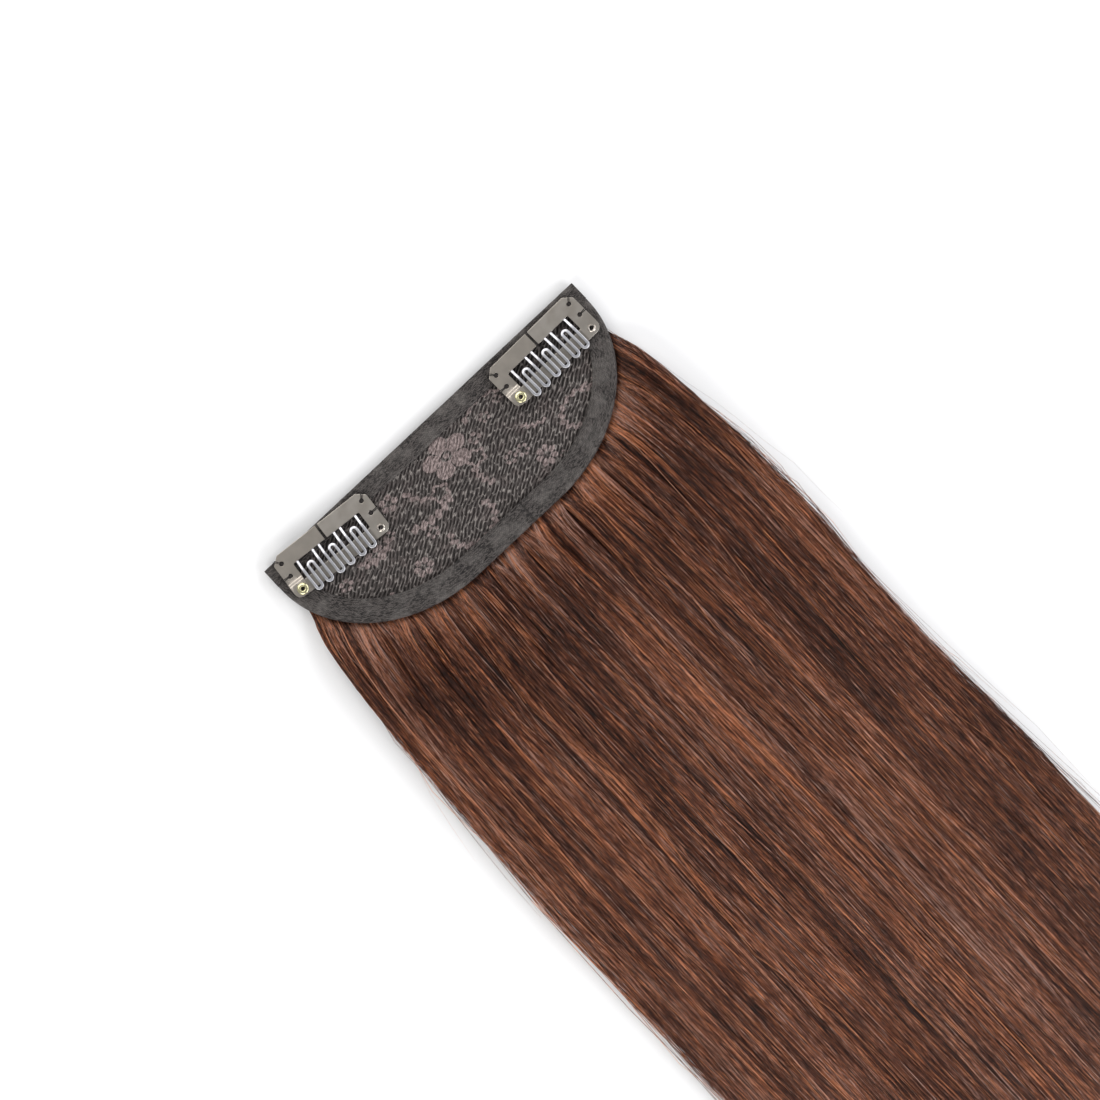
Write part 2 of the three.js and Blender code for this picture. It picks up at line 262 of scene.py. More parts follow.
class Value:
    """A number that varies over a surface. Each operation on it adds its Math node."""

    def __init__(self, finish, socket):
        self.finish = finish
        self.socket = socket

    __add__ = operation("ADD")
    __radd__ = operation("ADD", True)
    __sub__ = operation("SUBTRACT")
    __rsub__ = operation("SUBTRACT", True)
    __mul__ = operation("MULTIPLY")
    __rmul__ = operation("MULTIPLY", True)
    __truediv__ = operation("DIVIDE")
    __rtruediv__ = operation("DIVIDE", True)


class ShaderMaths:
    """The functions of numpy that the net's pattern uses, for values of a shader."""

    sin = maths_node("SINE")
    floor = maths_node("FLOOR")
    abs = maths_node("ABSOLUTE")
    sqrt = maths_node("SQRT")
    maximum = maths_node("MAXIMUM")


class Finish:
    """A material in the making. Constants are set on the surface shader's own sockets."""

    def __init__(self, name, **constants):
        self.material = bpy.data.materials.new(name)
        self.material.use_nodes = True
        self.tree = self.material.node_tree
        self.surface = self.tree.nodes["Principled BSDF"]
        for socket, constant in constants.items():
            self.surface.inputs[socket.replace("_", " ")].default_value = constant

    def node(self, kind, settings, inputs, output=0):
        """One node: its settings first, then the values or links of its sockets. Gives an output."""
        node = self.tree.nodes.new("ShaderNode" + kind)
        for name, setting in settings.items():
            if name == "stops":
                self.set_stops(node.color_ramp, setting)
            else:
                setattr(node, name, setting)
        for name, source in inputs.items():
            if isinstance(source, Value):
                self.tree.links.new(source.socket, node.inputs[name])
            else:
                node.inputs[name].default_value = source
        return Value(self, node.outputs[output])

    @staticmethod
    def set_stops(ramp, stops):
        while len(ramp.elements) < len(stops):
            ramp.elements.new(1)
        for element, (position, colour) in zip(ramp.elements, stops):
            element.position = position
            element.color = (*colour, 1)

    def math(self, name, *terms):
        return self.node("Math", {"operation": name}, dict(enumerate(terms)))

    def ramp(self, value, *stops):
        return self.node("ValToRGB", {"stops": stops}, {"Fac": value})

    def step(self, value, low, high):
        """0 to 1 as value goes from low to high, eased at both ends."""
        inputs = {"Value": value, "From Min": low, "From Max": high}
        return self.node("MapRange", {"interpolation_type": "SMOOTHSTEP"}, inputs)

    def mix(self, share, first, second):
        """A colour between first and second."""
        colours = [c if isinstance(c, Value) else (*c, 1) for c in (first, second)]
        inputs = {0: share, 6: colours[0], 7: colours[1]}
        return self.node("Mix", {"data_type": "RGBA"}, inputs, 2)

    def place(self):
        """Position on the piece in millimetres, in the part's frame."""
        spot = self.node("TexCoord", {}, {}, "Object")
        return self.node("VectorMath", {"operation": "SCALE"}, {0: spot, "Scale": 1 / MM})

    def split(self, spot):
        return [self.node("SeparateXYZ", {}, {0: spot}, axis) for axis in "XYZ"]

    def noise(self, spot, scale, detail, roughness=0.5):
        """Noise from 0 to 1. scale is one number, or three that stretch the pattern."""
        if isinstance(scale, tuple):
            spot = self.node("VectorMath", {"operation": "MULTIPLY"}, {0: spot, 1: scale})
            scale = 1
        inputs = {"Vector": spot, "Scale": scale, "Detail": detail, "Roughness": roughness}
        return self.node("TexNoise", {}, inputs)

    def stored(self, name, output="Fac"):
        """A value kept on the mesh."""
        return self.node("Attribute", {"attribute_name": name}, {}, output)

    def feed(self, socket, value):
        self.tree.links.new(value.socket, self.surface.inputs[socket])

    def bump(self, height, millimetres):
        """Relief of that many millimetres where height goes from 0 to 1."""
        inputs = {"Height": height, "Distance": millimetres * MM}
        self.feed("Normal", self.node("Bump", {}, inputs, "Normal"))


def net_gap(x, y, maths):
    """Millimetres from the rim of the net's nearest hole, negative in it. maths is numpy or ShaderMaths."""
    along = x * math.cos(NET_TURN) + y * math.sin(NET_TURN)
    across = y * math.cos(NET_TURN) - x * math.sin(NET_TURN)
    drift = 0.4 * maths.sin(along * 0.23 - across * 0.17)
    across = across + drift + 0.17 * maths.sin(along * 0.9 + across * 0.6)
    along = along + 0.5 * maths.sin(across * 1.3) + 0.4 * maths.sin(across * 0.37 + along * 0.5)
    row = maths.floor(across / NET_PITCH)
    off_row = across - (row + 0.5) * NET_PITCH
    steps = along / HOLE_STEP + row * 0.5 + 0.3 * maths.sin(row * 7.3)
    hole = maths.floor(steps)
    off_step = (steps - hole - 0.5) * HOLE_STEP
    straight = HOLE_STRAIGHT / 2 + 0.4 * maths.sin(hole * 5.1 + row * 3.7)
    past_end = maths.maximum(maths.abs(off_step) - straight, 0)
    return maths.sqrt(past_end * past_end + off_row * off_row) - HOLE_RADIUS


def lace_finish(colours):
    finish = Finish("ribbed_lace", Roughness=0.85, Specular_IOR_Level=0.35)
    plan = finish.stored("plan", "Vector")
    x, y, _ = finish.split(plan)
    motif = finish.stored("motif")
    gap = net_gap(x, y, ShaderMaths)
    turned = {"Vector": plan, "Angle": -NET_TURN}
    ribs = finish.node("VectorRotate", {"rotation_type": "Z_AXIS"}, turned)
    fluff = finish.noise(ribs, (0.45, 1.5, 1), 3, 0.65)
    clogged = finish.step(fluff, 0.46, 0.66) * 0.5
    thread = finish.step(gap + clogged, -0.16, 0.2)
    crest = finish.step(gap, 0.04, 0.34)
    gleam = finish.step(finish.noise(ribs, (0.5, 2.4, 1), 3, 0.6), 0.42, 0.64)
    fibre = finish.noise(ribs, (0.75, 2, 1), 3, 0.65)
    cloth = finish.mix(crest * gleam, colours.lace_thread, colours.lace_gleam)
    net = finish.mix(thread, colours.lace_hole, cloth)
    petals = finish.mix(finish.step(fibre, 0.38, 0.64), colours.motif_shade, colours.motif)
    frayed = finish.step(motif + (fibre - 0.5) * 0.9, 0.3, 0.7)
    closed = finish.mix(frayed * (0.5 + 0.5 * thread), net, petals)
    blush = finish.step(finish.noise(plan, 0.16, 2), 0.45, 0.72)
    finish.feed("Base Color", finish.mix(blush * 0.35 * thread, closed, colours.motif_shade))
    finish.bump(thread * 0.6 + fibre * 0.4, 0.2)
    return finish.material


def tape_finish(colours):
    finish = Finish("woven_tape", Roughness=0.8, Specular_IOR_Level=0.4)
    plan = finish.stored("plan", "Vector")
    along, across, _ = finish.split(plan)
    weave = ShaderMaths.sin(along * 6.5 + across * 2) * ShaderMaths.sin(across * 8 - along) * 0.5 + 0.5
    flecks = finish.noise(plan, (0.91, 3.12, 1.95), 4, 0.7)
    worn = finish.noise(plan, 0.2, 2)
    cloth = finish.mix(finish.step(flecks, 0.42, 0.59), colours.tape_shade, colours.tape)
    cloth = finish.mix(finish.step(worn, 0.4, 0.7) * 0.4, cloth, colours.tape_light)
    cloth = finish.mix(weave * 0.4, cloth, colours.tape_shade)
    # Painted shadow at the step where the binding's end laps over its start, in the dark of the lace's holes
    finish.feed("Base Color", finish.mix(finish.stored("seam"), cloth, colours.lace_hole))
    finish.bump(weave * 0.5 + flecks * 0.5, 0.24)
    return finish.material


def thread_finish(name, colour):
    finish = Finish(name, Roughness=0.7, Specular_IOR_Level=0.4)
    strands = finish.noise(finish.place(), 6, 2)
    finish.feed("Base Color", finish.mix(finish.step(strands, 0.3, 0.7), [c * 0.55 for c in colour], colour))
    finish.bump(strands, 0.05)
    return finish.material


def steel_finish(name, steel, shade, teeth_shadow, roughness):
    """Satin steel, brushed along the clip. The fourth argument is how strongly a painted shadow darkens it below
    the teeth.
    """
    finish = Finish(name, Metallic=1)
    plan = finish.stored("plan", "Vector")
    x, y, _ = finish.split(plan)
    grain = finish.noise(plan, (0.7, 9, 9), 3)
    smudge = finish.noise(plan, 0.22, 2)
    # Painted shadow of the teeth on the cross bar, between and below them
    shadow_below_teeth = finish.step(0 - y, CROSS_BAR_BACK - 0.2, CROSS_BAR_BACK + 0.4)
    shadow_below_teeth = shadow_below_teeth * (1 - finish.step(ShaderMaths.abs(x), WINDOW_HALF - 0.6, WINDOW_HALF))
    bare = finish.mix(finish.step(smudge, 0.3, 0.75), shade, steel)
    finish.feed("Base Color", finish.mix(shadow_below_teeth * teeth_shadow, bare, [c * 0.2 for c in shade]))
    finish.feed("Roughness", roughness + 0.1 * grain + 0.03 * smudge)
    finish.bump(grain, 0.006)
    return finish.material


def brass_finish(colours):
    finish = Finish("pale_brass", Metallic=1)
    tarnish = finish.noise(finish.place(), 0.9, 3)
    dull = [c * 0.75 for c in colours.brass]
    finish.feed("Base Color", finish.mix(finish.step(tarnish, 0.45, 0.85), colours.brass, dull))
    finish.feed("Roughness", 0.26 + 0.1 * tarnish)
    return finish.material


def hair_finish(colours):
    finish = Finish("brown_hair", Roughness=0.42, Specular_IOR_Level=0.4)
    place = finish.place()
    warmth = finish.stored("warmth")
    x, y, _ = finish.split(place)
    leaning = x + y * (0.1 * finish.step(warmth, 0.5, 0.6) - 0.05)
    run = finish.node("CombineXYZ", {}, {"X": leaning, "Y": y})
    patches = finish.noise(place, (0.09, 0.02, 0.1), 2)
    streaks = finish.noise(run, (2.3, 0.075, 1), 4, 0.65)
    flecks = finish.noise(place, (4.5, 0.33, 2), 2)
    shade = finish.stored("tone") + (patches - 0.5) * 0.35 + (streaks - 0.5) * 1.9 + (flecks - 0.5) * 1.1
    # The lightest stops are partly the strands' own lighter colour and partly painted highlight: a copper sheen on
    # warm strands and a greyish glint on cool ones
    dark = ((0, colours.hair_dark), (0.36, colours.hair_shade))
    cool = finish.ramp(shade, *dark, (0.64, colours.hair_cool), (1, colours.hair_mauve_glint))
    warm = finish.ramp(shade, *dark, (0.62, colours.hair), (1, colours.hair_copper))
    finish.feed("Base Color", finish.mix(finish.step(warmth, 0.1, 0.9), cool, warm))
    return finish.material


def floor_finish(colours):
    finish = Finish("white_table", Roughness=0.9)
    speck = finish.noise(finish.place(), 0.05, 2)
    finish.feed("Base Color", finish.mix(speck, colours.floor, [c * 0.985 for c in colours.floor]))
    return finish.material


def add_piece(name, points, faces, material, place=None, plan=None, mend=True, **stored):
    """A mesh object from points in millimetres. plan and stored are kept on its points for its finish."""
    points = np.asarray(points, float).reshape(-1, 3)
    matrix = np.array(place or Matrix.Scale(MM, 4))
    matrix[3, 3] = 1
    mesh = bpy.data.meshes.new(name)
    mesh.from_pydata((points @ matrix[:3, :3].T + matrix[:3, 3]).tolist(), [], faces)
    if plan is not None:
        layer = mesh.attributes.new("plan", "FLOAT_VECTOR", "POINT")
        layer.data.foreach_set("vector", np.asarray(plan, np.float32).ravel())
    for key, values in stored.items():
        layer = mesh.attributes.new(key, "FLOAT", "POINT")
        layer.data.foreach_set("value", np.asarray(values, np.float32).ravel())
    if mend:
        mend_faces(mesh)
    return add_object(name, mesh, material)


def add_object(name, mesh, material):
    """A smooth mesh as an object in the scene."""
    mesh.shade_smooth()
    mesh.materials.append(material)
    piece = bpy.data.objects.new(name, mesh)
    bpy.context.collection.objects.link(piece)
    return piece


def mend_faces(mesh):
    """Points all faces outwards."""
    work = bmesh.new()
    work.from_mesh(mesh)
    bmesh.ops.recalc_face_normals(work, faces=work.faces)
    work.to_mesh(mesh)
    work.free()


def grid_faces(rows, columns, closed=False, first=0):
    """Quads over a grid of points, facing up where y falls with the rows and x grows with the columns."""
    index = first + np.arange(rows * columns).reshape(rows, columns)
    if closed:
        index = np.concatenate([index, index[:, :1]], 1)
    corners = (index[:-1, :-1], index[1:, :-1], index[1:, 1:], index[:-1, 1:])
    return np.stack(corners, -1).reshape(-1, 4).tolist()


def relief(grid, underside):
    """Points and faces of a solid whose top is a grid of points and whose underside is flat."""
    rows, columns = grid.shape[:2]
    index = np.arange(rows * columns).reshape(rows, columns)
    rim = np.concatenate([index[0, :-1], index[:-1, -1], index[-1, :0:-1], index[:0:-1, 0]])
    low = grid.reshape(-1, 3)[rim]
    low[:, 2] = underside
    first, count = rows * columns, len(rim)
    turn = np.roll(np.arange(count), -1)
    walls = np.stack([rim, rim[turn], first + turn, first + np.arange(count)], -1)
    faces = grid_faces(rows, columns) + walls.tolist() + [list(range(first, first + count))]
    return np.vstack([grid.reshape(-1, 3), low]), faces


def sweep(rings, first=0):
    """Faces of a solid through rings of points, with both ends closed."""
    count, sides = rings.shape[:2]
    ends = [list(range(start, start + sides)) for start in (first, first + (count - 1) * sides)]
    return grid_faces(count, sides, closed=True, first=first) + ends


def tubes(lines, radius, sides=6):
    """Points and faces of round threads along lines of points, joined in one mesh."""
    points = []
    faces = []
    for line in lines:
        line = np.asarray(line, float)
        ahead = np.gradient(line, axis=0)
        ahead /= np.linalg.norm(ahead, axis=1)[:, None]
        side = np.cross(ahead, (0.13, 0.2, 1))
        side /= np.linalg.norm(side, axis=1)[:, None]
        over = np.cross(side, ahead)
        angles = 2 * np.pi * np.arange(sides) / sides
        taper = np.ones(len(line))
        taper[[0, -1]] = 0.5
        ring = side[:, None] * np.cos(angles)[:, None] + over[:, None] * np.sin(angles)[:, None]
        rings = line[:, None] + radius * taper[:, None, None] * ring
        faces += sweep(rings, sum(map(len, points)))
        points.append(rings.reshape(-1, 3))
    return np.vstack(points), faces


def arc(centre, radius, start, end, steps):
    angles = np.radians(np.linspace(start, end, steps + 1))
    return np.stack([centre[0] + radius * np.cos(angles), centre[1] + radius * np.sin(angles)], -1)


def circle(centre, radius, steps=36):
    """A hole, which runs the other way round than an outline."""
    return arc(centre, radius, 360, 0, steps)[:-1]


def rounded(corners, steps=7):
    """An outline through corners of (x, y, radius), with each corner turned into an arc."""
    outline = []
    for i, (x, y, radius) in enumerate(corners):
        here = np.array((x, y), float)
        back = np.array(corners[i - 1][:2]) - here
        on = np.array(corners[(i + 1) % len(corners)][:2]) - here
        back /= np.linalg.norm(back)
        on /= np.linalg.norm(on)
        half = math.acos(np.clip(back @ on, -1, 1)) / 2
        centre = here + (back + on) / np.linalg.norm(back + on) * radius / math.sin(half)
        first = here + back * radius / math.tan(half) - centre
        last = here + on * radius / math.tan(half) - centre
        for share in np.linspace(0, 1, steps + 1):
            spoke = between(first, last, share)
            outline.append(centre + spoke / np.linalg.norm(spoke) * radius)
    return outline


def stamped(name, outline, holes):
    """A stamped sheet with rounded edges as an open bmesh, its underside at z = 0."""
    curve = bpy.data.curves.new(name, "CURVE")
    curve.dimensions = "2D"
    curve.fill_mode = "BOTH"
    curve.extrude = SHEET / 2 - SHEET_ROUND
    curve.bevel_depth = SHEET_ROUND
    curve.bevel_resolution = 2
    curve.offset = -SHEET_ROUND
    for loop in (outline, *holes):
        spline = curve.splines.new("POLY")
        spline.points.add(len(loop) - 1)
        spline.points.foreach_set("co", [value for x, y in loop for value in (x, y, 0, 1)])
        spline.use_cyclic_u = True
    pattern = bpy.data.objects.new(name, curve)
    bpy.context.collection.objects.link(pattern)
    work = bmesh.new()
    work.from_mesh(pattern.to_mesh())
    pattern.to_mesh_clear()
    bpy.data.objects.remove(pattern)
    bmesh.ops.remove_doubles(work, verts=work.verts, dist=0.002)
    bmesh.ops.translate(work, verts=work.verts, vec=(0, 0, SHEET / 2))
    return work


def clip_frame(clip, joint):
    """Matrix of a clip, from the middle of its back edge at the sheet's underside."""
    across = -Vector(joint["axis"]).normalized()
    turn = Matrix((across, LIFT.cross(across), LIFT)).transposed()
    left = turned_box(f"{clip}_eyelet_plate", turn)
    right = turned_box(f"{clip}_cross_bar_plate", turn)
    return millimetre_frame(turn, ((left[0][0] + right[1][0]) / 2, right[1][1], right[0][2]))


def step_up(work):
    """Lifts the front of the eyelet's arm over the cross bar."""
    for y in np.linspace(-STEP_START, -STEP_END, 7):
        parts = work.verts[:] + work.edges[:] + work.faces[:]
        bmesh.ops.bisect_plane(work, geom=parts, plane_co=(0, y, 0), plane_no=(0, 1, 0))
    for vertex in work.verts:
        vertex.co.z += STEP_RISE * float(smooth(-vertex.co.y, STEP_START, STEP_END))


def plate_piece(name, outline, holes, material, place, change=None):
    """A stamped sheet as a piece, flat beside its rounded edges. change is made to it before it is placed."""
    work = stamped(name, outline, holes)
    if change:
        change(work)
    plan = work.verts.layers.float_vector.new("plan")
    for vertex in work.verts:
        vertex[plan] = vertex.co
    bmesh.ops.recalc_face_normals(work, faces=work.faces)
    bmesh.ops.transform(work, matrix=place, verts=work.verts)
    mesh = bpy.data.meshes.new(name)
    work.to_mesh(mesh)
    work.free()
    piece = add_object(name, mesh, material)
    mesh.set_sharp_from_angle(angle=CRISP_ANGLE)
    piece.modifiers.new("flat_faces", "WEIGHTED_NORMAL").keep_sharp = True
    return piece


def plate_holes(side):
    """Both stitching holes at one end of the clip, and the hole for the eyelet."""
    ends = ((side * x, y) for x, y in (CORNER_HOLE_SPOT, SIDE_HOLE_SPOT))
    return [circle(spot, STITCH_HOLE_RADIUS) for spot in ends] + [circle(EYELET_SPOT, EYELET_CLEARANCE)]


def eyelet_plate(name, material, place):
    end = -CLIP_HALF
    corners = (
        (-SLIT_HALF, 0, SMALL_ROUND),
        (end + CORNER_CUT_LENGTH, 0, CUT_ROUND),
        (end, -CORNER_CUT_DEPTH, CUT_ROUND),
        (end, -CLIP_DEPTH, ARM_CORNER_ROUND),
        (-WINDOW_HALF, -CLIP_DEPTH, SMALL_ROUND),
        (-WINDOW_HALF, -BAR_DEPTH, WINDOW_ROUND),
        (-SLIT_HALF, -BAR_DEPTH, SMALL_ROUND),
    )
    return plate_piece(name, rounded(corners), plate_holes(-1), material, place, step_up)


def cross_bar_plate(name, material, place):
    end = CLIP_HALF
    eyelet_end = EYELET_SPOT[0] - (CLIP_DEPTH - CROSS_BAR_BACK) / 2
    corners = (
        (SLIT_HALF, 0, SMALL_ROUND),
        (SLIT_HALF, -BAR_DEPTH, SMALL_ROUND),
        (WINDOW_HALF, -BAR_DEPTH, WINDOW_ROUND),
        (WINDOW_HALF, -CROSS_BAR_BACK, WINDOW_ROUND),
        (eyelet_end, -CROSS_BAR_BACK, EYELET_END_ROUND),
        (eyelet_end, -CLIP_DEPTH, EYELET_END_ROUND),
        (end, -CLIP_DEPTH, ARM_CORNER_ROUND),
        (end, -CORNER_CUT_DEPTH, CUT_ROUND),
        (end - CORNER_CUT_LENGTH, 0, CUT_ROUND),
    )
    holes = plate_holes(1) + [circle(FRONT_HOLE_SPOT, FRONT_HOLE_RADIUS)]
    return plate_piece(name, rounded(corners), holes, material, place, add_rim)


def add_rim(work):
    """Adds the drawn rim of the front hole to the cross bar's plate."""
    turned = lathe(FRONT_HOLE_RIM, RIM_SIDES) + np.array((*FRONT_HOLE_SPOT, 0))
    loops = [[work.verts.new(point) for point in ring] for ring in turned]
    for ring, following in zip(loops, loops[1:] + loops[:1]):
        for i, vertex in enumerate(ring):
            work.faces.new((vertex, ring[i - 1], following[i - 1], following[i]))


def lathe(profile, steps):
    """Rings of points round the z axis, one for each (radius, height) of the profile."""
    angles = 2 * np.pi * np.arange(steps) / steps
    spokes = np.stack([np.cos(angles), np.sin(angles), np.zeros(steps)], -1)
    return np.array([spokes * radius + (0, 0, height) for radius, height in profile])


def eyelet(name, material, place):
    """Rolled tube through the arm and the cross bar's end, with a domed flange on both sides."""
    profile = [(radius, EYELET_TOP + height) for radius, height in EYELET_FLANGE]
    profile += [(EYELET_TUBE, EYELET_TOP - 0.06), (EYELET_TUBE, EYELET_FOOT + 0.06)]
    profile += [(radius, EYELET_FOOT - height) for radius, height in reversed(EYELET_FLANGE)]
    rings = lathe(profile, EYELET_SIDES) + np.array((*EYELET_SPOT, 0))
    index = np.arange(rings[..., 0].size).reshape(len(rings), -1)
    inner = np.stack([index[-1], np.roll(index[-1], -1), np.roll(index[0], -1), index[0]], -1)
    faces = grid_faces(len(rings), EYELET_SIDES, closed=True) + inner.tolist()
    return add_piece(name, rings, faces, material, place)


def arch(forward):
    """Height of the teeth's underside at a distance in front of the back edge."""
    share = np.clip((forward - COMB_RISE_START) / (COMB_TIP - COMB_RISE_START), 0, 1)
    return ARCH_HEIGHT * np.sin(0.5 * np.pi * np.minimum(1, share * 3)) - TIP_DROP * share**6


def comb_line():
    """Middle of the serpentine in plan, from one root to the other."""
    tip = COMB_TIP - TOOTH_WIDTH / 2 - COMB_BEND
    loop = BAR_DEPTH + LOOP_FROM_BAR + TOOTH_WIDTH / 2 + COMB_BEND
    line = []
    runs = (
        (-3, COMB_ROOT, tip, 1),
        (-1, tip - 0.5, loop + 0.5, -1),
        (1, loop + 0.5, tip - 0.5, 1),
        (3, tip - 0.5, COMB_ROOT, 0),
    )
    for bends, start, end, way in runs:
        steps = int(abs(end - start) / 0.7)
        line.extend((bends * COMB_BEND, y) for y in np.linspace(start, end, steps, endpoint=False))
        if way:
            centre = ((bends + 1) * COMB_BEND, tip if way > 0 else loop)
            line.extend(arc(centre, COMB_BEND, 180, 180 - 180 * way, 13))
    line.append((3 * COMB_BEND, COMB_ROOT))
    return np.array(line)


def comb(name, centre, material, place):
    """One strip of wire-like teeth, stamped from the sheet and arched over the cross bar."""
    line = comb_line()
    ahead = np.gradient(line, axis=0)
    ahead /= np.linalg.norm(ahead, axis=1)[:, None]
    side = np.stack([-ahead[:, 1], ahead[:, 0]], -1)
    section = []
    for x, z, start in ((1, 1, 0), (-1, 1, 90), (-1, -1, 180), (1, -1, 270)):
        corner = (x * (TOOTH_WIDTH / 2 - TOOTH_ROUND), z * (TOOTH_SHEET / 2 - TOOTH_ROUND))
        section.extend(arc(corner, TOOTH_ROUND, start, start + 90, 3))
    across, height = np.array(section).T
    x = centre + line[:, :1] + side[:, :1] * across
    forward = line[:, 1:] + side[:, 1:] * across
    z = arch(forward) + SHEET / 2 + height
    rings = np.stack([x, -forward, z], -1)
    return add_piece(name, rings, sweep(rings), material, place, plan=rings)


def sewing(name, material, place):
    """Loops of thread that hold a clip's four stitching holes to the tape below."""
    lines = []
    knots = []
    for side in (-1, 1):
        for (x, y), (out_x, out_y) in ((CORNER_HOLE_SPOT, (0.62, 0.78)), (SIDE_HOLE_SPOT, (1, 0.05))):
            hole = np.array((side * x, y, 0))
            out = np.array((side * out_x, out_y, 0))
            beside = np.array((-out[1], out[0], 0))
            knots.append([hole + (0, 0, height) for height in (-0.75, -0.5, 0, 0.42, 0.58)])
            reach = 2.75 - 0.1 * abs(out_y)
            over_edge = ((reach - 0.5, 0.64), (reach, 0.3), (reach + 0.2, -0.3), (reach + 0.1, -0.85))
            profile = ((-0.1, -0.62), (0.1, 0.1), (0.5, 0.6), (1.1, 0.66), *over_edge)
            for i in (-1, 1):
                start = hole + beside * 0.12 * i
                way = out * (1 + 0.05 * i) + beside * 0.05 * i
                lines.append(eased([start + way * along + (0, 0, height) for along, height in profile], 4))
    points, faces = tubes(lines, 0.11)
    knot_points, knot_faces = tubes(knots, 0.66, 12)
    faces += [[corner + len(points) for corner in face] for face in knot_faces]
    return add_piece(name, np.vstack([points, knot_points]), faces, material, place)


def eased(points, steps):
    """A smooth line through points."""
    points = np.asarray(points, float)
    spots = np.arange(len(points))
    fine = np.linspace(0, len(points) - 1, (len(points) - 1) * steps + 1)
    slopes = np.gradient(points, axis=0)
    low = np.minimum(fine.astype(int), len(points) - 2)
    t = (fine - spots[low])[:, None]
    ahead = 3 * t**2 - 2 * t**3
    slope_in = t**3 - 2 * t**2 + t
    slope_out = t**3 - t**2
    middle = between(points[low], points[low + 1], ahead)
    return middle + slope_in * slopes[low] + slope_out * slopes[low + 1]


def tape_section(width):
    """Section of a tape folded round the lace: (distance from the fold, height), going round."""
    top = TAPE_TOP
    foot = TAPE_FOOT
    fold = [(1.9, 0.4), (1.2, 0.3), (0.6, 0.38), (0.18, 0.75), (0, 1.25), (0.1, 1.8), (0.4, 2.2)]
    face = [(d, top - 0.05 - 0.15 * min(1, d / 3)) for d in np.linspace(1.5, width - 0.35, 9)]
    end = [(width - 0.08, top - 0.3), (width, top - 0.55), (width - 0.1, foot + 0.12)]
    under = [(d, foot + 0.05) for d in (width - 0.4, *np.linspace(width - 1.2, 1.8, 4))]
    inner = [(1.35, 1.4), (1.2, 1.05), (1.45, 0.75), (1.9, 0.66)]
    return np.array(fold + [(0.9, top - 0.06)] + face + end + under + inner)


def tape_face(distance, height):
    """1 on a tape's upper face, eased to 0 round the fold and below."""
    return smooth(height, TAPE_FOOT + 0.3, TAPE_TOP - 0.3) * smooth(distance, 0.6, 2)


def lap_height(x, past_lap, low, high):
    """Rise of the binding where its end laps over its start."""
    return LAP_RISE * (1 - smooth(past_lap, low, high)) * smooth(x, *LAP_FADE)


def edge_route():
    """Outer and inner line of the binding along the curved edge, from left to right."""
    outer_reach = (BASE_HALF - BASE_FLAT_HALF, BASE_DEPTH - BASE_END_DEPTH)
    inner_reach = (outer_reach[0] - EDGE_TAPE_WIDTH, outer_reach[1] - EDGE_TAPE_WIDTH)
    quarter = np.radians(np.linspace(180, 270, 170))
    sides = []
    for reach_x, reach_y in (outer_reach, inner_reach):
        left_x = -BASE_FLAT_HALF + reach_x * np.cos(quarter)
        left = np.stack([left_x, -BASE_END_DEPTH + reach_y * np.sin(quarter)], -1)
        flat_x = np.linspace(-BASE_FLAT_HALF, BASE_FLAT_HALF, 72)[1:-1]
        flat = np.stack([flat_x, np.full(len(flat_x), -BASE_END_DEPTH - reach_y)], -1)
        start = np.array([(left[0, 0], -TAPE_SEAM)])
        sides.append(np.vstack([start, left, flat, left[::-1] * (-1, 1), start * (-1, 1)]))
    return sides


def length_along(line):
    """Distance of each point from the start of a line."""
    return np.concatenate([[0], np.cumsum(np.linalg.norm(np.diff(line, axis=0), axis=1))])


def edge_tape(material):
    outer, inner = edge_route()
    inward = (inner - outer) / EDGE_TAPE_WIDTH
    distance, height = tape_section(EDGE_TAPE_WIDTH).T
    flat = outer[:, None] + inward[:, None] * distance[:, None]
    x, y = flat[..., 0], flat[..., 1]
    past_lap = x - LAP_SPOT - 0.03 * y
    inner_share = smooth(distance, 2.5, EDGE_TAPE_WIDTH)
    run = length_along(outer)[:, None]
    puckers = 0.5 * np.sin(run * 1.9) + 0.35 * np.sin(run * 3.1 + 1) + 0.3 * np.sin(run * 0.63 + 2)
    swell = 0.1 * np.sin(run * 0.21) + 0.06 * np.sin(run * 0.47 + 0.6)
    rise = puckers * 0.16 * inner_share + swell + lap_height(x, past_lap, -0.3, 0.3) - FACE_SINK
    z = height + tape_face(distance, height) * rise
    rings = np.stack([x, y, z], -1)
    plan = np.stack(np.broadcast_arrays(run, distance, height), -1)
    # Painted shadow along the step of the lap
    seam = 0.95 * bell(past_lap - 0.35, 0.4)
    return add_piece("edge_tape_cloth", rings, sweep(rings), material, BASE, plan, seam=seam)


def top_tape(material):
    distance, height = tape_section(TOP_TAPE_WIDTH).T
    x = np.linspace(-BASE_HALF, BASE_HALF, 260)[:, None]
    ripple = 0.05 * np.sin(x * 1.3) + 0.06 * np.sin(x * 0.53 + 1) + 0.1 * np.sin(x * 0.11)
    bow = 0.16 * np.sin(x * 0.23 + 0.5) * smooth(distance, 3, TOP_TAPE_WIDTH)
    uneven = 0.09 * np.sin(x * 0.9 + 1.7 * np.sin(x * 0.31)) + 0.05 * np.sin(x * 2.7)
    y = bow - distance + uneven * smooth(height, TAPE_FOOT, TAPE_TOP) - 0.1
    z = height + tape_face(distance, height) * (ripple - FACE_SINK)
    rings = np.stack(np.broadcast_arrays(x, y, z), -1)
    plan = np.stack(np.broadcast_arrays(x, distance, height), -1)
    return add_piece("top_tape_cloth", rings, sweep(rings), material, BASE, plan, seam=np.zeros(z.shape))


